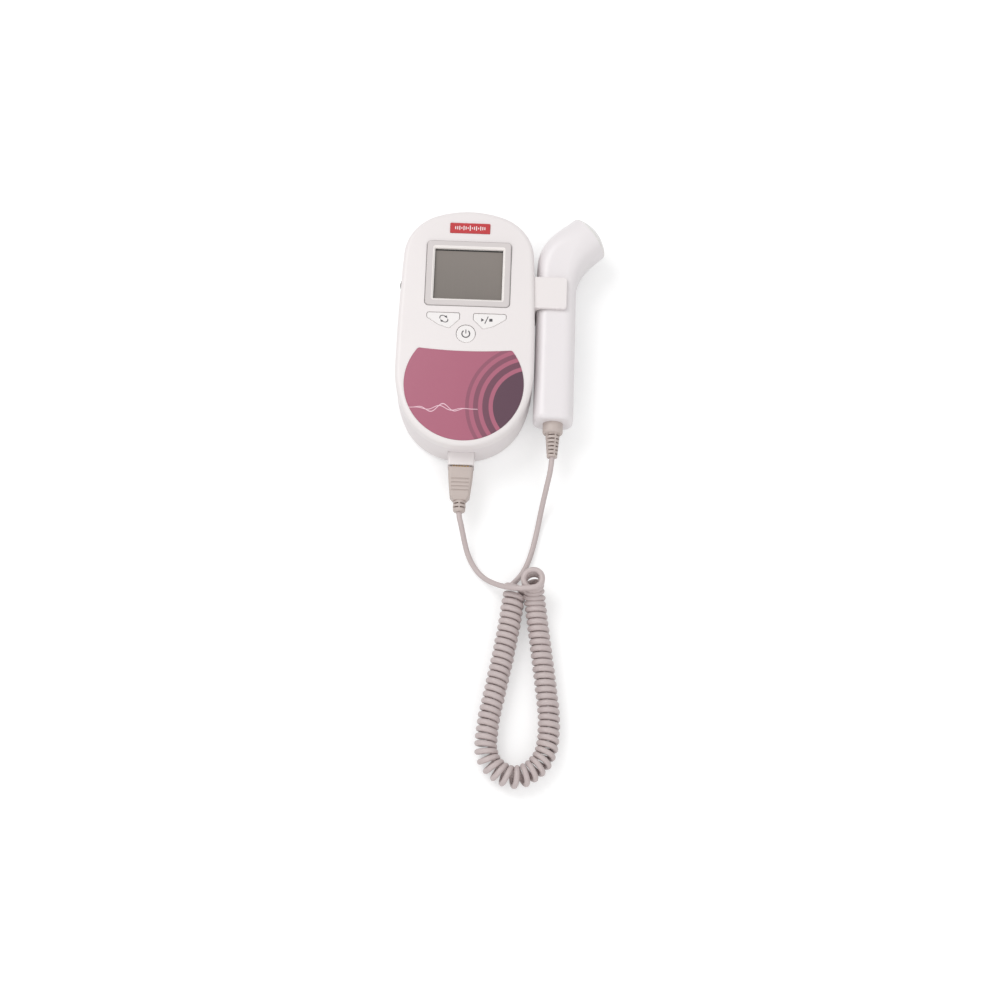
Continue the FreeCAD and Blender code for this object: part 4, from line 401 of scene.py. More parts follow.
@dataclass(frozen=True)
class LabelFilm:
    """The printed film on the lower front: a rose ground, a darker set of spreading arcs and pale waves.

    The arcs spread from a point beyond the right edge. Each wave is a share of the full height and a phase
    in radians.
    """

    film: MouldedPlastic = MouldedPlastic(srgb(171, 95, 117), srgb(167, 89, 113), roughness=0.36,
                                          grain=7000.0, grain_depth=0.006 * MM, flow_size=25.0, coat=0.25,
                                          coat_roughness=0.25)
    arc_colour: Colour = srgb(82, 47, 66)
    wave_colour: Colour = srgb(233, 196, 208)
    source: Triple = (37 * MM, -47 * MM, 0.0)
    first_radius: float = 21.0 * MM
    first_width: float = 21.5 * MM
    arc_step: float = 5.4 * MM
    arc_count: int = 4
    arc_gap: float = 0.42
    arc_share: float = 0.62
    arc_thinning: float = 0.13
    arc_fading: float = 0.2
    waves: tuple[Pair, ...] = ((1.0, 0.0), (0.55, 0.9))
    wave_middle: float = -12 * MM
    wave_y: float = -49.5 * MM
    wave_half: float = 17 * MM
    wave_tail: float = 3 * MM
    wave_length: float = 14.0 * MM
    wave_height: float = 2.6 * MM
    wave_steepness: float = 0.36 / MM
    line_width: float = 0.3 * MM
    edge: float = 0.05 * MM

    def _arcs(self, surface: Surface) -> Socket:
        """The mask of the spreading arcs, each thinner and fainter than the last.

        Args:
            surface: The material's recipe.

        Returns:
            The mask.
        """
        flat = surface.add("ShaderNodeVectorMath", surface.spot, (1.0, 1.0, 0.0), operation="MULTIPLY")
        away = surface.add("ShaderNodeVectorMath", flat.outputs[0], self.source, operation="DISTANCE")
        reach = away.outputs["Value"]
        mask = 0.0
        inner = self.first_radius - self.first_width
        width = self.first_width
        for index in range(self.arc_count):
            outer = inner + width
            rise = surface.step_mask(reach, inner - self.edge, inner + self.edge)
            fall = surface.step_mask(reach, outer + self.edge, outer - self.edge)
            ring = surface.math("MULTIPLY", rise, fall)
            faded = surface.math("MULTIPLY", ring, 1.0 - self.arc_fading * index)
            mask = surface.math("MAXIMUM", mask, faded)
            inner = outer + self.arc_step * self.arc_gap
            width = self.arc_step * (self.arc_share - self.arc_thinning * index)
        return mask

    def _wave(self, surface: Surface, height: float, phase: float) -> Socket:
        """The mask of one thin wave that swells in its middle and dies out at both ends.

        Args:
            surface: The material's recipe.
            height: The wave's greatest height.
            phase: The wave's phase in radians.

        Returns:
            The mask.
        """
        parts = surface.parts(surface.spot)
        turn = surface.math("MULTIPLY_ADD", parts["X"], math.tau / self.wave_length, phase)
        far = surface.math("ABSOLUTE", surface.math("SUBTRACT", parts["X"], self.wave_middle))
        swell = surface.step_mask(far, self.wave_half, 0.0)
        curve = surface.math("MULTIPLY", surface.math("SINE", turn), surface.math("MULTIPLY", swell, height))
        off = surface.math("SUBTRACT", surface.math("SUBTRACT", parts["Y"], self.wave_y), curve)
        steep = surface.math("MULTIPLY_ADD", swell, height * self.wave_steepness, 1.0)
        near = surface.math("DIVIDE", surface.math("ABSOLUTE", off), steep)
        half_line = self.line_width / 2
        line = surface.step_mask(near, half_line + self.edge, half_line - self.edge)
        last = self.wave_half + self.wave_tail
        return surface.math("MULTIPLY", line, surface.step_mask(far, last, last - 2 * self.edge))

    def paint(self, surface: Surface) -> None:
        """Paints the film and its print.

        Args:
            surface: The material's recipe.
        """
        colour = surface.blend(self._arcs(surface), self.film.paint(surface), self.arc_colour)
        for share, phase in self.waves:
            wave = self._wave(surface, self.wave_height * share, phase)
            colour = surface.blend(wave, colour, self.wave_colour)
        surface.shade(Base_Color=colour)


@dataclass(frozen=True)
class ScreenFrame:
    """The frame round the screen: silvery grey, with a painted highlight along the window and a painted
    shadow along its outer edge.
    """

    plastic: MouldedPlastic
    # Painted highlight: the colour of the band along the window, standing for light on its bevel and wall.
    highlight_colour: Colour = srgb(246, 240, 237)
    # Painted shadow: the colour of the thin line along the frame's outer edge.
    dark: Colour = srgb(150, 143, 142)
    # Widths of the painted highlight band and of the painted shadow line.
    highlight_band: float = 1.15 * MM
    shadow_band: float = 0.3 * MM
    edge: float = 0.12 * MM

    def paint(self, surface: Surface) -> None:
        """Paints the frame with its two painted bands: a highlight along the window and a shadow along the
        outer edge.

        Args:
            surface: The material's recipe.
        """
        # Painted highlight along the window.
        highlight_mask = surface.step_mask(WINDOW.distance(surface), self.highlight_band + self.edge,
                                self.highlight_band - self.edge)
        # Painted shadow just inside the frame's outer edge.
        line = surface.step_mask(BEZEL_EDGE.distance(surface), -self.shadow_band - self.edge,
                                 -self.shadow_band + self.edge)
        colour = surface.blend(highlight_mask, self.plastic.paint(surface), self.highlight_colour)
        surface.shade(Base_Color=surface.blend(line, colour, self.dark))


@dataclass(frozen=True)
class DisplayGlass:
    """The unlit reflective display: grey film under glass, with painted shade that darkens it a little to
    its lower left, and a thin dark band round it, partly a real black border and partly painted shadow.
    """

    dark: Colour = srgb(114, 107, 101)
    light: Colour = srgb(127, 119, 113)
    # The dark band round the window: partly a real black border, partly painted shadow from the frame, so
    # wider at the top.
    shade: Colour = srgb(30, 28, 28)
    shade_top: float = 0.75 * MM
    shade_top_edge: float = 0.12 * MM
    shade_side: float = 0.25 * MM
    shade_side_edge: float = 0.1 * MM
    # Painted shade: where the film goes from the dark to the light colour, along a slanted line across the
    # display.
    light_falloff: Pair = (10 * MM, 52 * MM)
    light_falloff_lean: float = 0.35
    line_fineness: float = 2600.0
    line_stretch: float = 0.01
    line_share: float = 0.3
    roughness: float = 0.32
    roughness_spread: float = 0.1
    specular: float = 0.4
    coat: float = 0.6
    coat_roughness: float = 0.04

    def _shaded(self, surface: Surface, parts: Sockets) -> Socket:
        """The mask of a dark band along the window's edges: partly the display's real black border, partly
        painted shadow from the frame, which makes it wider along the top.

        Args:
            surface: The material's recipe.
            parts: The spot's X and Y.

        Returns:
            The mask.
        """
        top = WINDOW.middle + WINDOW.half_height - self.shade_top
        side = WINDOW.half_width - self.shade_side
        upper = surface.step_mask(parts["Y"], top - self.shade_top_edge, top + self.shade_top_edge)
        away = surface.step_mask(surface.math("ABSOLUTE", parts["X"]), side - self.shade_side_edge,
                                 side + self.shade_side_edge)
        return surface.math("MAXIMUM", upper, away)

    def paint(self, surface: Surface) -> None:
        """Paints the display.

        Args:
            surface: The material's recipe.
        """
        parts = surface.parts(surface.spot)
        lines = surface.drawn_lines(self.line_fineness, self.line_stretch)
        # Painted shade: the film is darker towards its lower left, a gradient standing for how the light
        # falls across it.
        slope = surface.math("MULTIPLY_ADD", parts["X"], self.light_falloff_lean, parts["Y"])
        light_falloff = surface.math("MULTIPLY", surface.step_mask(slope, *self.light_falloff), 1.0 - self.line_share)
        share = surface.math("MULTIPLY_ADD", lines["Height"], self.line_share, light_falloff)
        film = surface.blend(share, self.dark, self.light)
        gloss = surface.math("MULTIPLY_ADD", lines["Streak"], self.roughness_spread, self.roughness)
        # Over the film goes the dark edge band, part real black border and part painted shadow.
        surface.shade(Base_Color=surface.blend(self._shaded(surface, parts), film, self.shade),
                      Roughness=gloss, Specular_IOR_Level=self.specular, Coat_Weight=self.coat,
                      Coat_Roughness=self.coat_roughness)


@dataclass(frozen=True)
class CircuitBoard:
    """Green solder resist with lighter tracks and vias."""

    resist: MouldedPlastic = MouldedPlastic(srgb(28, 98, 58), srgb(24, 88, 52), roughness=0.35, grain=3000.0,
                                            grain_depth=0.006 * MM)
    track: Colour = srgb(52, 136, 84)
    track_scale: float = 160.0
    track_width: float = 0.035
    track_length: float = 1.4
    track_pitch: float = 0.28
    via_scale: float = 260.0
    via_edge: Pair = (0.16, 0.12)

    def paint(self, surface: Surface) -> None:
        """Paints the board.

        Args:
            surface: The material's recipe.
        """
        bricks = surface.add("ShaderNodeTexBrick", Vector=surface.spot, Scale=self.track_scale,
                             Color1=(0, 0, 0, 1), Color2=(0, 0, 0, 1), Mortar=(1, 1, 1, 1),
                             Mortar_Size=self.track_width, Brick_Width=self.track_length,
                             Row_Height=self.track_pitch)
        vias = surface.add("ShaderNodeTexVoronoi", Vector=surface.spot, Scale=self.via_scale)
        dots = surface.step_mask(vias.outputs["Distance"], *self.via_edge)
        mask = surface.math("MAXIMUM", bricks.outputs["Fac"], dots)
        surface.shade(Base_Color=surface.blend(mask, self.resist.paint(surface), self.track))


@dataclass(frozen=True)
class CellJacket:
    """The printed jackets of the two dry cells: dark sleeves with a copper end each, lying opposite ways."""

    sleeve: MouldedPlastic = MouldedPlastic(srgb(58, 62, 70), srgb(48, 52, 60), roughness=0.3, grain=2500.0,
                                            grain_depth=0.003 * MM, coat=0.4)
    copper: Colour = srgb(186, 120, 66)
    left_start: float = -20 * MM
    right_start: float = -44 * MM
    edge: float = 0.1 * MM
    seam: float = 0.01 * MM

    def paint(self, surface: Surface) -> None:
        """Paints both jackets.

        Args:
            surface: The material's recipe.
        """
        parts = surface.parts(surface.spot)
        upper = surface.step_mask(parts["Y"], self.left_start, self.left_start + self.edge)
        lower = surface.step_mask(parts["Y"], self.right_start, self.right_start - self.edge)
        left = surface.step_mask(parts["X"], self.seam, -self.seam)
        right = surface.step_mask(parts["X"], -self.seam, self.seam)
        mask = surface.math("MULTIPLY_ADD", upper, left, surface.math("MULTIPLY", lower, right))
        surface.shade(Base_Color=surface.blend(mask, self.sleeve.paint(surface), self.copper))


class Finish(Enum):
    """Every finish on the object, with what paints it."""

    CASE = MouldedPlastic(srgb(237, 231, 230), srgb(233, 227, 227), roughness=0.38, grain=3600.0,
                          grain_depth=0.012 * MM, flow_size=22.0)
    # A copy of the case plastic a little darker: painted shade for the rear shell and its battery door.
    BACK = MouldedPlastic(srgb(232, 225, 225), srgb(228, 221, 222), roughness=0.4, grain=3600.0,
                          grain_depth=0.012 * MM, flow_size=22.0)
    PROBE = MouldedPlastic(srgb(236, 231, 232), srgb(232, 227, 229), roughness=0.34, grain=5200.0,
                           grain_depth=0.006 * MM, flow_size=26.0)
    FACE = MouldedPlastic(srgb(236, 233, 231), srgb(232, 229, 228), roughness=0.24, grain=5200.0,
                          grain_depth=0.002 * MM, flow_size=30.0)
    KEY = MouldedPlastic(srgb(241, 237, 236), srgb(238, 234, 233), roughness=0.42, grain=6000.0,
                         grain_depth=0.01 * MM, flow_size=60.0)
    MARK = MouldedPlastic(srgb(76, 72, 76), srgb(68, 64, 68), roughness=0.5, grain=5000.0,
                          grain_depth=0.004 * MM, flow_size=200.0)
    LABEL = LabelFilm()
    PLATE = MouldedPlastic(srgb(192, 36, 42), srgb(183, 31, 37), roughness=0.35, grain=5000.0,
                           grain_depth=0.005 * MM, flow_size=90.0, coat=0.3)
    PLATE_PRINT = MouldedPlastic(srgb(244, 236, 236), srgb(238, 228, 228), roughness=0.4, grain=5000.0,
                                 grain_depth=0.003 * MM, flow_size=300.0)
    BEZEL = ScreenFrame(MouldedPlastic(srgb(213, 206, 205), srgb(208, 201, 200), roughness=0.33,
                                       grain=9000.0, grain_depth=0.008 * MM, flow_size=50.0, coat=0.2))
    DISPLAY = DisplayGlass()
    WHEEL = MouldedPlastic(srgb(16, 15, 16), srgb(12, 11, 12), roughness=0.55, grain=4200.0,
                           grain_depth=0.02 * MM, flow_size=80.0, specular=0.3)
    BLACK = MouldedPlastic(srgb(34, 32, 33), srgb(26, 25, 26), roughness=0.5, grain=4200.0,
                           grain_depth=0.02 * MM, flow_size=80.0)
    DIFFUSER = MouldedPlastic(srgb(226, 230, 222), srgb(218, 224, 216), roughness=0.5, flow_size=60.0)
    SILICONE = MouldedPlastic(srgb(164, 163, 160), srgb(154, 153, 150), roughness=0.62, grain=3000.0,
                              grain_depth=0.015 * MM, flow_size=70.0)
    STEEL = DrawnMetal(srgb(202, 202, 206), srgb(180, 180, 186))
    BRASS = DrawnMetal(srgb(226, 190, 112), srgb(206, 166, 90), roughness=0.24)
    BOARD = CircuitBoard()
    CHIP = MouldedPlastic(srgb(44, 43, 46), srgb(36, 36, 39), roughness=0.55, grain=6500.0,
                          grain_depth=0.01 * MM, flow_size=220.0)
    PAPER = MouldedPlastic(srgb(52, 50, 50), srgb(38, 37, 38), roughness=0.8, grain=1800.0,
                           grain_depth=0.04 * MM, flow_size=260.0, specular=0.2)
    CELL = CellJacket()
    PLUG = MouldedPlastic(srgb(196, 183, 177), srgb(190, 177, 171), roughness=0.48, grain=3400.0,
                          grain_depth=0.018 * MM, flow_size=70.0)
    JACKET = MouldedPlastic(srgb(199, 185, 183), srgb(191, 178, 177), roughness=0.42, grain=3000.0,
                            grain_depth=0.014 * MM, flow_size=55.0)
    CERAMIC = MouldedPlastic(srgb(208, 196, 168), srgb(196, 186, 160), roughness=0.7, grain=2600.0,
                             grain_depth=0.02 * MM, flow_size=150.0)

    def material(self) -> bpy.types.Material:
        """Paints this finish's material on first use.

        Returns:
            The material.
        """
        name = self.name.lower()
        if name not in bpy.data.materials:
            self.value.paint(Surface(name))
        return bpy.data.materials[name]


# ---------------------------------------------------------------- the modelling bench


class Bench:
    """Steps at the modelling bench, each on one object alone."""

    SQUARE = 4
    EDGE_STEPS = 3
    WELD = 1e-7

    @staticmethod
    def clear() -> None:
        """Leaves edit mode and deselects everything."""
        if bpy.context.object and bpy.context.object.mode != "OBJECT":
            bpy.ops.object.mode_set(mode="OBJECT")
        bpy.ops.object.select_all(action="DESELECT")

    @staticmethod
    def take(piece: bpy.types.Object) -> None:
        """Selects one object alone and makes it the active one.

        Args:
            piece: The object.
        """
        Bench.clear()
        piece.select_set(True)
        bpy.context.view_layer.objects.active = piece

    @staticmethod
    @contextmanager
    def shaping() -> Iterator[None]:
        """Edit mode on the active object with its whole mesh selected, for a with block."""
        bpy.ops.object.mode_set(mode="EDIT")
        bpy.ops.mesh.select_all(action="SELECT")
        yield
        bpy.ops.object.mode_set(mode="OBJECT")

    @staticmethod
    def close_up() -> None:
        """In edit mode, merges doubles and turns every face outwards."""
        bpy.ops.mesh.select_all(action="SELECT")
        bpy.ops.mesh.remove_doubles(threshold=Bench.WELD)
        bpy.ops.mesh.normals_make_consistent(inside=False)

    @staticmethod
    def settle(name: str) -> bpy.types.Object:
        """Names the active object and puts its place, turn and scale into its mesh.

        Args:
            name: The piece's name.

        Returns:
            The active object.
        """
        piece = bpy.context.object
        piece.name = name
        piece.data.name = name
        bpy.ops.object.transform_apply(location=True, rotation=True, scale=True)
        return piece

    @staticmethod
    def slab(name: str, centre: Vector, width: float, length: float, thick: float, turn: float = 0.0,
             corners: int = SQUARE, round_edge: float = 0.0) -> bpy.types.Object:
        """A small flat slab: a regular polygon or a rectangle, pulled up and eased.

        Args:
            name: The piece's name.
            centre: The middle of its lower face.
            width: Its size along X before it is turned.
            length: Its size along Y before it is turned.
            thick: Its height.
            turn: How far it is turned about Z, in radians.
            corners: How many corners its outline has.
            round_edge: How far its upright edges are eased.

        Returns:
            The slab.
        """
        Bench.clear()
        square = corners == Bench.SQUARE
        bpy.ops.mesh.primitive_circle_add(vertices=corners, radius=math.sqrt(0.5) if square else 0.5,
                                          fill_type="NGON", rotation=(0, 0, math.pi / 4 if square else 0.0))
        bpy.ops.object.transform_apply(rotation=True)
        with Bench.shaping():
            bpy.ops.transform.resize(value=(width, length, 1), center_override=(0, 0, 0))
            if round_edge:
                bpy.ops.mesh.bevel(offset=round_edge, segments=Bench.EDGE_STEPS, affect="VERTICES")
            bpy.ops.mesh.extrude_region_move(TRANSFORM_OT_translate={"value": (0, 0, thick)})
            Bench.close_up()
        piece = bpy.context.object
        piece.rotation_euler = (0, 0, turn)
        piece.location = centre
        return Bench.settle(name)

    @staticmethod
    def arc_bar(name: str, centre: Vector, radius: float, width: float, thick: float, start: float,
                sweep: float, steps: int = 28) -> bpy.types.Object:
        """A flat bar bent along an arc, spun from its end face.

        Args:
            name: The piece's name.
            centre: The arc's centre, at the bar's lower face.
            radius: The arc's middle radius.
            width: The bar's width across the arc.
            thick: The bar's height.
            start: The first end's angle from +X, in radians.
            sweep: How far it runs, in radians, anticlockwise.
            steps: How many straight stretches stand for the arc.

        Returns:
            The bar.
        """
        Bench.clear()
        heading = Vector((math.cos(start), math.sin(start), 0))
        bpy.ops.mesh.primitive_plane_add(size=1.0, rotation=(math.pi / 2, 0, start))
        piece = bpy.context.object
        piece.scale = (width, thick, 1)
        piece.location = centre + heading * radius + Vector((0, 0, thick / 2))
        piece = Bench.settle(name)
        with Bench.shaping():
            bpy.ops.mesh.spin(steps=steps, angle=sweep, center=centre, axis=(0, 0, -1))
            Bench.close_up()
        return piece

    @staticmethod
    def join(name: str, pieces: list[bpy.types.Object]) -> bpy.types.Object:
        """Joins small pieces into one.

        Args:
            name: The joined piece's name.
            pieces: What is joined.

        Returns:
            The joined piece.
        """
        Bench.take(pieces[0])
        for piece in pieces[1:]:
            piece.select_set(True)
        bpy.ops.object.join()
        return Bench.settle(name)


def dress(piece: bpy.types.Object, finish: Finish) -> None:
    """Gives a piece one finish."""
    piece.data.materials.clear()
    piece.data.materials.append(finish.material())


def finish_new(piece: bpy.types.Object, finish: Finish, body: str) -> None:
    """Dresses a new piece and lets it ride.

    Args:
        piece: The new piece.
        finish: Its finish.
        body: The body it moves with.
    """
    dress(piece, finish)
    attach(piece, body)
    LOG.info("%s: %d faces, on %s", piece.name, len(piece.data.polygons), body)


# ---------------------------------------------------------------- sub-assemblies


@dataclass
class Assembly:
    """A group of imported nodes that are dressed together."""

    finishes: dict[str, Finish]

    def build(self) -> None:
        """Dresses the group's nodes."""
        for node, finish in self.finishes.items():
            dress(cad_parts[node], finish)
            LOG.info("%s: %s", node, finish.name.lower())


@dataclass
class KeyMarks:
    """The printed pictograms on the three keys. A share is one of the size that it goes with."""

    ink: float = 0.05 * MM
    sink: float = 0.01 * MM
    stroke: float = 0.62 * MM
    power_radius: float = 2.1 * MM
    power_gap: float = math.radians(36)
    power_steps: int = 40
    power_bar: float = 2.3 * MM
    power_bar_place_share: float = 0.62
    power_bar_width_share: float = 0.8
    power_bar_corner: float = 0.1 * MM
    mode_spot: Pair = (-12.2 * MM, 2.2 * MM)
    mode_radius: float = 1.95 * MM
    mode_start: float = math.radians(226)
    mode_sweep: float = math.radians(-142)
    mode_stroke_share: float = 0.7
    mode_head: float = 1.9 * MM
    mode_head_turn: float = math.radians(14)
    mode_stretch: Triple = (1.24, 0.86, 1.0)
    mode_turn: float = math.radians(36)
    play_spot: Pair = (10.9 * MM, 2.2 * MM)
    play_gap: float = 2.35 * MM
    play_size: float = 1.75 * MM
    triangle_shares: Pair = (1.35, 1.25)
    square_height_share: float = 0.95
    square_corner: float = 0.06 * MM
    slash_length: float = 4.6 * MM
    slash_width: float = 0.48 * MM
    slash_lean: float = math.radians(-22)

    def _top(self, node: str) -> float:
        """The height of the ink's lower face on a key."""
        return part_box(node)[1].z - self.sink

    def power(self) -> None:
        """The open ring with a short bar at its top."""
        low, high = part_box("power_key")
        centre = Vector(((low.x + high.x) / 2, (low.y + high.y) / 2, self._top("power_key")))
        ring = Bench.arc_bar("power_ring", centre, self.power_radius, self.stroke, self.ink,
                             start=math.pi / 2 + self.power_gap, sweep=math.tau - 2 * self.power_gap,
                             steps=self.power_steps)
        rise = Vector((0, self.power_radius * self.power_bar_place_share, 0))
        bar = Bench.slab("power_bar", centre + rise, self.stroke * self.power_bar_width_share,
                         self.power_bar, self.ink, round_edge=self.power_bar_corner)
        finish_new(Bench.join("power_mark", [ring, bar]), Finish.MARK, "power_button")

    def mode(self) -> None:
        """Two arcs that chase each other, each with an arrow head, drawn flatter than a circle."""
        centre = Vector((*self.mode_spot, self._top("mode_key")))
        pieces = []
        for side in (0, 1):
            start = self.mode_start + side * math.pi
            tip = start + self.mode_sweep
            pieces.append(Bench.arc_bar("mode_arc", centre, self.mode_radius,
                                        self.stroke * self.mode_stroke_share, self.ink, start,
                                        self.mode_sweep))
            spot = centre + Vector((math.cos(tip), math.sin(tip), 0)) * self.mode_radius
            pieces.append(Bench.slab("mode_head", spot, self.mode_head, self.mode_head, self.ink,
                                     turn=tip - math.pi - self.mode_head_turn, corners=3))
        mark = Bench.join("mode_mark", pieces)
        with Bench.shaping():
            bpy.ops.transform.resize(value=self.mode_stretch, center_override=centre)
            bpy.ops.transform.rotate(value=self.mode_turn, orient_axis="Z", center_override=centre)
        finish_new(mark, Finish.MARK, "mode_button")

    def play(self) -> None:
        """A triangle, a slash and a square."""
        centre = Vector((*self.play_spot, self._top("play_key")))
        aside = Vector((self.play_gap, 0, 0))
        width, length = (self.play_size * share for share in self.triangle_shares)
        triangle = Bench.slab("play_triangle", centre - aside, width, length, self.ink, turn=-math.pi / 2,
                              corners=3)
        slash = Bench.slab("play_slash", centre, self.slash_width, self.slash_length, self.ink,
                           turn=self.slash_lean)
        square = Bench.slab("play_square", centre + aside, self.play_size,
                            self.play_size * self.square_height_share, self.ink,
                            round_edge=self.square_corner)
        finish_new(Bench.join("play_mark", [triangle, slash, square]), Finish.MARK,
                   "play_button")

    def build(self) -> None:
        """Prints all three."""
        self.power()
        self.mode()
        self.play()


@dataclass
class BadgePrint:
    """A plain row of upright bars on the badge, whose heights swell and shrink along the row."""

    bar_width: float = 0.5 * MM
    bar_corner: float = 0.12 * MM
    pitch: float = 1.15 * MM
    count: int = 15
    tallest: float = 3.2 * MM
    shortest: float = 0.7 * MM
    beat: float = 2.35
    slow_beat: float = 0.19
    ink: float = 0.04 * MM
    sink: float = 0.01 * MM

    def build(self) -> None:
        """Prints the bars."""
        low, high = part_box("badge_plate")
        middle = (low + high) / 2
        bars = []
        for index in range(self.count):
            along = index - (self.count - 1) / 2
            swell = 0.5 + 0.5 * math.cos(self.beat * along) * math.cos(self.slow_beat * along)
            height = self.shortest + (self.tallest - self.shortest) * swell
            spot = Vector((middle.x + along * self.pitch, middle.y, high.z - self.sink))
            bars.append(Bench.slab("badge_bar", spot, self.bar_width, height, self.ink,
                                   round_edge=self.bar_corner))
        finish_new(Bench.join("badge_print", bars), Finish.PLATE_PRINT, "main_unit")


class Route:
    """A smooth line read from a spline, with its length, heading and bend at any distance along it."""

    HEADING_REACH = 1.2 * MM
    BEND_REACH = 2.5 * MM

    def __init__(self, points: list[Vector]) -> None:
        """Takes the line's points.

        Args:
            points: The points, in order.
        """
        self.points = points
        self.along = [0.0]
        for before, after in zip(points, points[1:]):
            self.along.append(self.along[-1] + (after - before).length)
        self.length = self.along[-1]

    def at(self, distance: float) -> Vector:
        """The point at a distance from the start.

        Args:
            distance: The distance, which stops at the line's ends.

        Returns:
            The point.
        """
        distance = min(max(distance, 0.0), self.length)
        low = min(bisect_right(self.along, distance), len(self.along) - 1) - 1
        span = self.along[low + 1] - self.along[low]
        return self.points[low].lerp(self.points[low + 1], (distance - self.along[low]) / span)

    def _window(self, distance: float, reach: float) -> Pair:
        """The stretch that lies within a reach of a distance."""
        return max(distance - reach, 0.0), min(distance + reach, self.length)

    def heading(self, distance: float) -> Vector:
        """The direction of the line at a distance from the start."""
        near, far = self._window(distance, self.HEADING_REACH)
        return (self.at(far) - self.at(near)).normalized()

    def bend(self, distance: float) -> float:
        """How sharply the line bends at a distance from the start, as one over the radius."""
        near, far = self._window(distance, self.BEND_REACH)
        return self.heading(near).angle(self.heading(far)) / (far - near)


@dataclass(frozen=True)
class Station:
    """One step along the curl's middle line: how the wire goes round it there, and how thick it is."""

    phase: float
    radius: float
    wire: float
    up: Vector


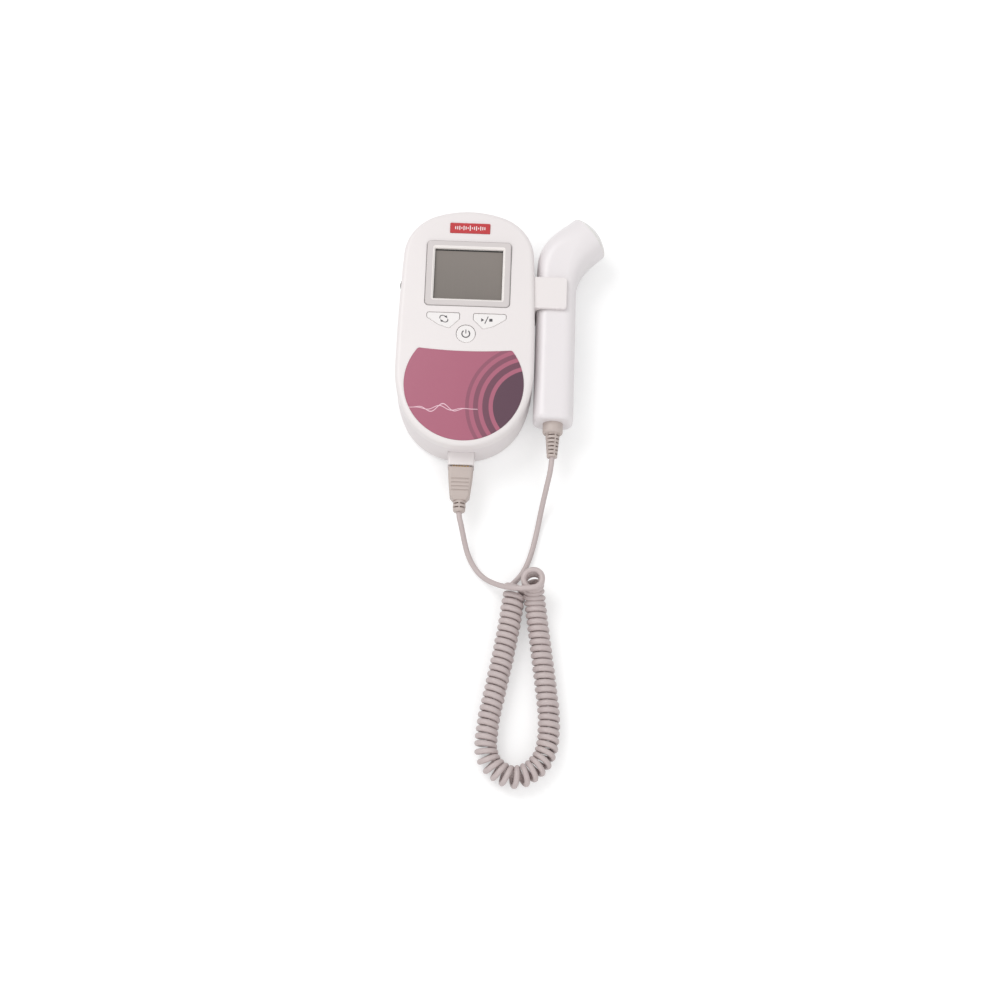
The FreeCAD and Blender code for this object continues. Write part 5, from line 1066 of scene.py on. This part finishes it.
@dataclass
class CurlyCord:
    """The probe's cord: a straight lead, the curled part and a straight lead into the plug.

    The wire's thickness is a share of the diameter: coil_wire where the curl is straight, bend_wire where it
    bends as sharply as a radius of thin_bend, and lead_wire on the leads. The curl widens by bend_swell
    where it bends as sharply as a radius of swell_bend, and to end_radius over its last end_swell. Its turns
    lie open_start further apart at its start, which fades over open_fade, and closer over its last
    end_reach, where squeeze is how far they press together. Inside a bend, where the pitch counts as no less
    than inner_least of itself, they keep inner_gap between them. Each wobble is a share of the radius, its
    wave's radians per turn and its phase. A turn leans by lean, which starts and ends over lean_ease and has
    a share and radians per turn of its own in lean_wobble. The three routes are in millimetres.
    """

    diameter: float = 3.0 * MM
    coil_wire: float = 1.14
    bend_wire: float = 1.0
    lead_wire: float = 0.96
    thin_bend: float = 20 * MM
    coil_radius: float = 4.2 * MM
    coil_taper: float = 0.4 * MM
    bend_swell: float = 0.4 * MM
    swell_bend: float = 14 * MM
    end_radius: float = 5.0 * MM
    end_swell: float = 9 * MM
    pitch: float = 3.68 * MM
    end_pitch: float = 3.38 * MM
    end_reach: float = 34 * MM
    open_start: float = 3.2 * MM
    open_fade: float = 2.6 * MM
    inner_gap: float = 0.05 * MM
    inner_least: float = 0.4
    squeeze: float = 0.2
    start_phase: float = math.radians(215)
    steps: int = 1200
    points_per_turn: int = 12
    wobbles: tuple[Triple, ...] = ((0.012, 2.3, 0.0), (0.01, 5.1, 1.0))
    lean: float = 0.05 * MM
    lean_ease: float = 12 * MM
    lean_wobble: Pair = (0.5, 1.7)
    sides: int = 4
    route_smoothness: int = 24
    smoothness: int = 5
    probe_lead: tuple = ((48.6, -69.8, 16.0), (48.3, -76.0, 15.8), (46.4, -84.5, 11.2), (44.3, -94.0, 4.9),
                         (42.5, -104.5, 1.9), (40.4, -115.4, 1.55), (38.4, -123.0, 1.55),
                         (35.4, -130.4, 1.6), (31.6, -135.3, 1.6))
    coil: tuple = ((31.3, -138.9, 6.25), (29.4, -158.0, 6.25), (24.2, -188.0, 6.25), (18.8, -215.0, 6.3),
                   (18.6, -234.0, 6.45), (33.7, -243.8, 6.5), (48.9, -234.0, 6.45), (51.8, -215.0, 6.3),
                   (48.0, -188.0, 6.25), (43.7, -160.0, 6.3), (41.7, -147.1, 6.4), (40.7, -141.2, 9.9),
                   (40.3, -138.2, 16.3), (40.2, -138.6, 19.8))
    plug_lead: tuple = ((34.8, -144.1, 18.6), (28.8, -143.3, 15.8), (21.2, -139.8, 8.8), (14.2, -135.0, 3.4),
                        (8.8, -128.6, 1.7), (5.0, -121.3, 3.2), (2.8, -113.8, 8.4), (1.2, -107.6, 12.6),
                        (0.2, -104.6, 13.0), (0.0, -101.5, 13.0))

    @staticmethod
    def _spline(name: str, points: list[Vector], wires: list[float], smoothness: int) -> bpy.types.Object:
        """A curve of one smooth open spline.

        Args:
            name: The curve's name.
            points: Its control points.
            wires: How thick it is at each point, as a share of its diameter; none where it is a bare line.
            smoothness: How many stretches are drawn from point to point.

        Returns:
            The curve's object.
        """
        data = bpy.data.curves.new(name, "CURVE")
        data.dimensions = "3D"
        data.resolution_u = smoothness
        spline = data.splines.new("NURBS")
        spline.points.add(len(points) - 1)
        for spot, point in zip(spline.points, points):
            spot.co = (*point, 1.0)
        for spot, wire in zip(spline.points, wires):
            spot.radius = wire
        spline.order_u = 3
        spline.use_endpoint_u = True
        curve = bpy.data.objects.new(name, data)
        bpy.context.scene.collection.objects.link(curve)
        return curve

    @staticmethod
    def _line(curve: bpy.types.Object) -> list[Vector]:
        """The points along a curve that has no bevel.

        Args:
            curve: The curve.

        Returns:
            Its points, from its start to its end.
        """
        mesh = bpy.data.meshes.new_from_object(curve)
        points = [vertex.co.copy() for vertex in mesh.vertices]
        bpy.data.meshes.remove(mesh)
        return points

    @staticmethod
    def _metres(points: tuple) -> list[Vector]:
        """A list of places in millimetres as vectors in metres."""
        return [Vector(point) * MM for point in points]

    def _wind(self, route: Route) -> list[Station]:
        """Works out, in equal steps, how the wire goes round the curl's middle line.

        Args:
            route: The middle line.

        Returns:
            The stations, from the line's start to its end.
        """
        step = route.length / self.steps
        stations = []
        phase = 0.0
        up = Vector((0, 0, 1))
        for index in range(self.steps + 1):
            here = index * step
            left = route.length - here
            bend = route.bend(here)
            ahead = route.heading(here)
            up = (up - ahead * ahead.dot(up)).normalized()
            grow = max(0.0, 1 - left / self.end_swell)
            tight = min(1.0, max(0.0, 2 - 2 * left / self.end_reach))
            radius = self.coil_radius + self.coil_taper * (0.5 - here / route.length)
            radius += (self.end_radius - radius) * grow
            radius += self.bend_swell * min(1.0, bend * self.swell_bend) * (1 - grow)
            wire = self.coil_wire + (self.bend_wire - self.coil_wire) * min(1.0, bend * self.thin_bend)
            stations.append(Station(phase, radius, wire, up))
            thick = self.diameter * wire * (1 - self.squeeze * tight)
            room = (thick + self.inner_gap * (1 - tight)) / max(1 - radius * bend, self.inner_least)
            pitch = self.pitch + (self.end_pitch - self.pitch) * tight
            pitch = max(pitch + self.open_start * math.exp(-here / self.open_fade), room)
            phase += math.tau * step / pitch
        return stations

    def _point(self, route: Route, here: float, station: Station, turn: float) -> Vector:
        """One control point of the helix.

        Args:
            route: The curl's middle line.
            here: How far along that line the point is.
            station: The last station before it.
            turn: How far the wire has turned from the upper side, in radians.

        Returns:
            The point.
        """
        turns = turn / math.tau
        loose = 1 + sum(size * math.sin(beat * turns + phase) for size, beat, phase in self.wobbles)
        radius = station.radius / math.cos(math.pi / self.points_per_turn) * loose
        ahead = route.heading(here)
        up = (station.up - ahead * ahead.dot(station.up)).normalized()
        spoke = (up * math.cos(turn) + up.cross(ahead) * math.sin(turn)) * radius
        ease = min(1.0, here / self.lean_ease, (route.length - here) / self.lean_ease)
        size, beat = self.lean_wobble
        lean = self.lean * ease * (1 + size * math.sin(beat * turns))
        return route.at(here) + spoke - ahead * (lean * math.sin(turn))

    def _turns(self) -> tuple[list[Vector], list[float]]:
        """Winds the curl round its middle line, so that its last turn ends on the upper side.

        Returns:
            The helix's control points, from the probe's end to the plug's end, and how thick the wire is at
            each, as a share of its diameter.
        """
        curve = self._spline("coil_route", self._metres(self.coil), [], self.route_smoothness)
        route = Route(self._line(curve))
        bpy.data.objects.remove(curve)
        stations = self._wind(route)
        total = stations[-1].phase
        whole = round((total + self.start_phase) / math.tau) * math.tau - self.start_phase
        scale = whole / total
        count = round(whole / math.tau * self.points_per_turn)
        points = []
        wires = []
        spot = 0
        for index in range(count + 1):
            target = whole * index / count
            while spot < self.steps - 1 and stations[spot + 1].phase * scale < target:
                spot += 1
            station = stations[spot]
            span = (stations[spot + 1].phase - station.phase) * scale
            share = min(max((target - station.phase * scale) / span, 0.0), 1.0)
            here = (spot + share) * route.length / self.steps
            points.append(self._point(route, here, station, target + self.start_phase))
            wires.append(station.wire)
        return points, wires

    def build(self) -> None:
        """Models the whole cord as one tube and lays it."""
        turns, wires = self._turns()
        route = self._metres(self.probe_lead) + turns + self._metres(self.plug_lead)
        wires = [self.lead_wire] * len(self.probe_lead) + wires + [self.lead_wire] * len(self.plug_lead)
        curve = self._spline("cord_route", route, wires, self.smoothness)
        path = self._line(curve)
        length = Route(path).length
        curve.data.bevel_depth = self.diameter / 2
        curve.data.bevel_resolution = self.sides
        curve.data.use_fill_caps = True
        mesh = bpy.data.meshes.new_from_object(curve)
        bpy.data.objects.remove(curve)
        cord = bpy.data.objects.new("curly_cord", mesh)
        bpy.context.scene.collection.objects.link(cord)
        Bench.take(cord)
        bpy.ops.object.shade_smooth()
        dress(cord, Finish.JACKET)
        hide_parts("probe_lead", "coiled_cord", "plug_lead")
        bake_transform(cord)
        LOG.info("curly_cord: %.0f mm long, %d faces", length / MM, len(mesh.polygons))


@dataclass(frozen=True)
class Lamp:
    """A soft square lamp that looks at the object."""

    name: str
    place: Triple
    size: float
    power: float

    def hang(self, aim: Vector) -> None:
        """Hangs the lamp.

        Args:
            aim: Where it looks.
        """
        Bench.clear()
        bpy.ops.object.light_add(type="AREA", location=self.place)
        lamp = bpy.context.object
        lamp.name = self.name
        lamp.data.shape = "SQUARE"
        lamp.data.size = self.size
        lamp.data.energy = self.power
        lamp.rotation_euler = (Vector(self.place) - aim).to_track_quat("Z", "Y").to_euler()


@dataclass
class Studio:
    """The floor, the light and the camera."""

    floor_size: float = 2.8
    floor_drop: float = 0.02 * MM
    floor_colour: Colour = (0.74, 0.74, 0.74, 1.0)
    floor_glow: float = 0.37
    white: Colour = (1.0, 1.0, 1.0, 1.0)
    sky: float = 0.62
    lamps: tuple[Lamp, ...] = (Lamp("key_lamp", (-0.75, 0.55, 1.25), size=0.9, power=9.0),
                               Lamp("fill_lamp", (0.9, -0.5, 1.1), size=1.2, power=2.6),
                               Lamp("low_lamp", (-0.1, -1.35, 0.55), size=1.3, power=4.5))
    elevation: float = math.radians(71.144)
    distance: float = 1.0488
    roll: float = math.radians(2.019)
    aim: Triple = (0.0216, -0.0895, 0.0)
    lens: float = 69.85
    sensor: float = 36.0
    nearest: float = 0.01

    @staticmethod
    def _seen(recipe: Recipe) -> Socket:
        """A mask that is 1 for rays that show a thing to the camera, straight, mirrored or through glass.

        Args:
            recipe: The recipe of the floor or the sky.

        Returns:
            The mask.
        """
        rays = recipe.add("ShaderNodeLightPath").outputs
        mirrored = recipe.math("MAXIMUM", rays["Is Camera Ray"], rays["Is Glossy Ray"])
        return recipe.math("MAXIMUM", mirrored, rays["Is Transmission Ray"])

    def floor(self) -> None:
        """The pale floor, which keeps the object's shadow."""
        Bench.clear()
        bpy.ops.mesh.primitive_plane_add(size=self.floor_size, location=(0, 0, -self.floor_drop))
        floor = Bench.settle("floor")
        surface = Surface("floor")
        glow = surface.math("MULTIPLY", self._seen(surface), self.floor_glow)
        surface.shade(Base_Color=self.floor_colour, Roughness=1.0, Specular_IOR_Level=0.0,
                      Emission_Color=self.white, Emission_Strength=glow)
        floor.data.materials.append(surface.material)

    def sky_light(self) -> None:
        """Even light from all round, with a white background."""
        world = bpy.data.worlds.new("studio")
        bpy.context.scene.world = world
        world.use_nodes = True
        world.node_tree.nodes.clear()
        recipe = Recipe(world.node_tree)
        ambient = recipe.add("ShaderNodeBackground", Color=self.white, Strength=self.sky)
        white = recipe.add("ShaderNodeBackground", Color=self.white, Strength=1.0)
        mix = recipe.add("ShaderNodeMixShader", self._seen(recipe), ambient.outputs[0], white.outputs[0])
        recipe.add("ShaderNodeOutputWorld", Surface=mix.outputs[0])

    def camera(self) -> None:
        """The camera above the lower end, tilted down and a little rolled."""
        back = Vector((0, -math.cos(self.elevation), math.sin(self.elevation)))
        stand = Vector(self.aim) + self.distance * back
        turn = Matrix.Rotation(math.pi / 2 - self.elevation, 4, "X") @ Matrix.Rotation(self.roll, 4, "Z")
        bpy.ops.object.camera_add()
        camera = bpy.context.object
        camera.name = "camera"
        camera.matrix_world = Matrix.Translation(stand) @ turn
        camera.data.lens = self.lens
        camera.data.sensor_width = self.sensor
        camera.data.clip_start = self.nearest
        bpy.context.scene.camera = camera

    def build(self) -> None:
        """Sets up the whole studio."""
        bpy.context.scene.view_settings.view_transform = "Standard"
        self.floor()
        self.sky_light()
        for lamp in self.lamps:
            lamp.hang(Vector(self.aim))
        self.camera()


MAIN_CASE = Assembly({"front_shell": Finish.CASE, "rear_shell": Finish.BACK, "front_label": Finish.LABEL,
                      "badge_plate": Finish.PLATE, "case_screws": Finish.STEEL})
SCREEN = Assembly({"lcd_bezel": Finish.BEZEL, "lcd_panel": Finish.DISPLAY, "lcd_carrier": Finish.BLACK,
                   "lcd_backlight": Finish.DIFFUSER, "lcd_connector": Finish.SILICONE})
KEYPAD = Assembly({"power_key": Finish.KEY, "mode_key": Finish.KEY, "play_key": Finish.KEY,
                   "keypad_membrane": Finish.SILICONE, "key_switches": Finish.STEEL})
BOARD = Assembly({"main_board": Finish.BOARD, "board_chips": Finish.CHIP, "speaker_frame": Finish.STEEL,
                  "speaker_cone": Finish.PAPER, "volume_wheel": Finish.WHEEL, "volume_pot": Finish.STEEL,
                  "headphone_jack": Finish.BLACK})
BATTERY_BAY = Assembly({"batteries": Finish.CELL, "battery_springs": Finish.STEEL,
                        "battery_tabs": Finish.STEEL, "battery_door": Finish.BACK})
PLUG = Assembly({"probe_socket": Finish.CASE, "socket_contacts": Finish.BRASS, "plug_body": Finish.PLUG,
                 "plug_contacts": Finish.BRASS, "plug_relief": Finish.PLUG})
PROBE = Assembly({"probe_holder": Finish.CASE, "holder_screws": Finish.STEEL,
                  "probe_front_shell": Finish.PROBE, "probe_rear_shell": Finish.PROBE,
                  "probe_face": Finish.FACE, "transducer_crystals": Finish.CERAMIC,
                  "transducer_backing": Finish.CHIP,
                  "probe_board": Finish.BOARD, "probe_relief": Finish.PLUG, "probe_lead": Finish.JACKET,
                  "coiled_cord": Finish.JACKET, "plug_lead": Finish.JACKET})


def main() -> None:
    """Builds every sub-assembly in order, then the studio."""
    logging.basicConfig(level=logging.INFO, format="%(message)s")
    for assembly in (MAIN_CASE, SCREEN, KEYPAD, BOARD, BATTERY_BAY, PLUG, PROBE):
        assembly.build()
    KeyMarks().build()
    BadgePrint().build()
    CurlyCord().build()
    Studio().build()


if __name__ == "__main__":
    main()
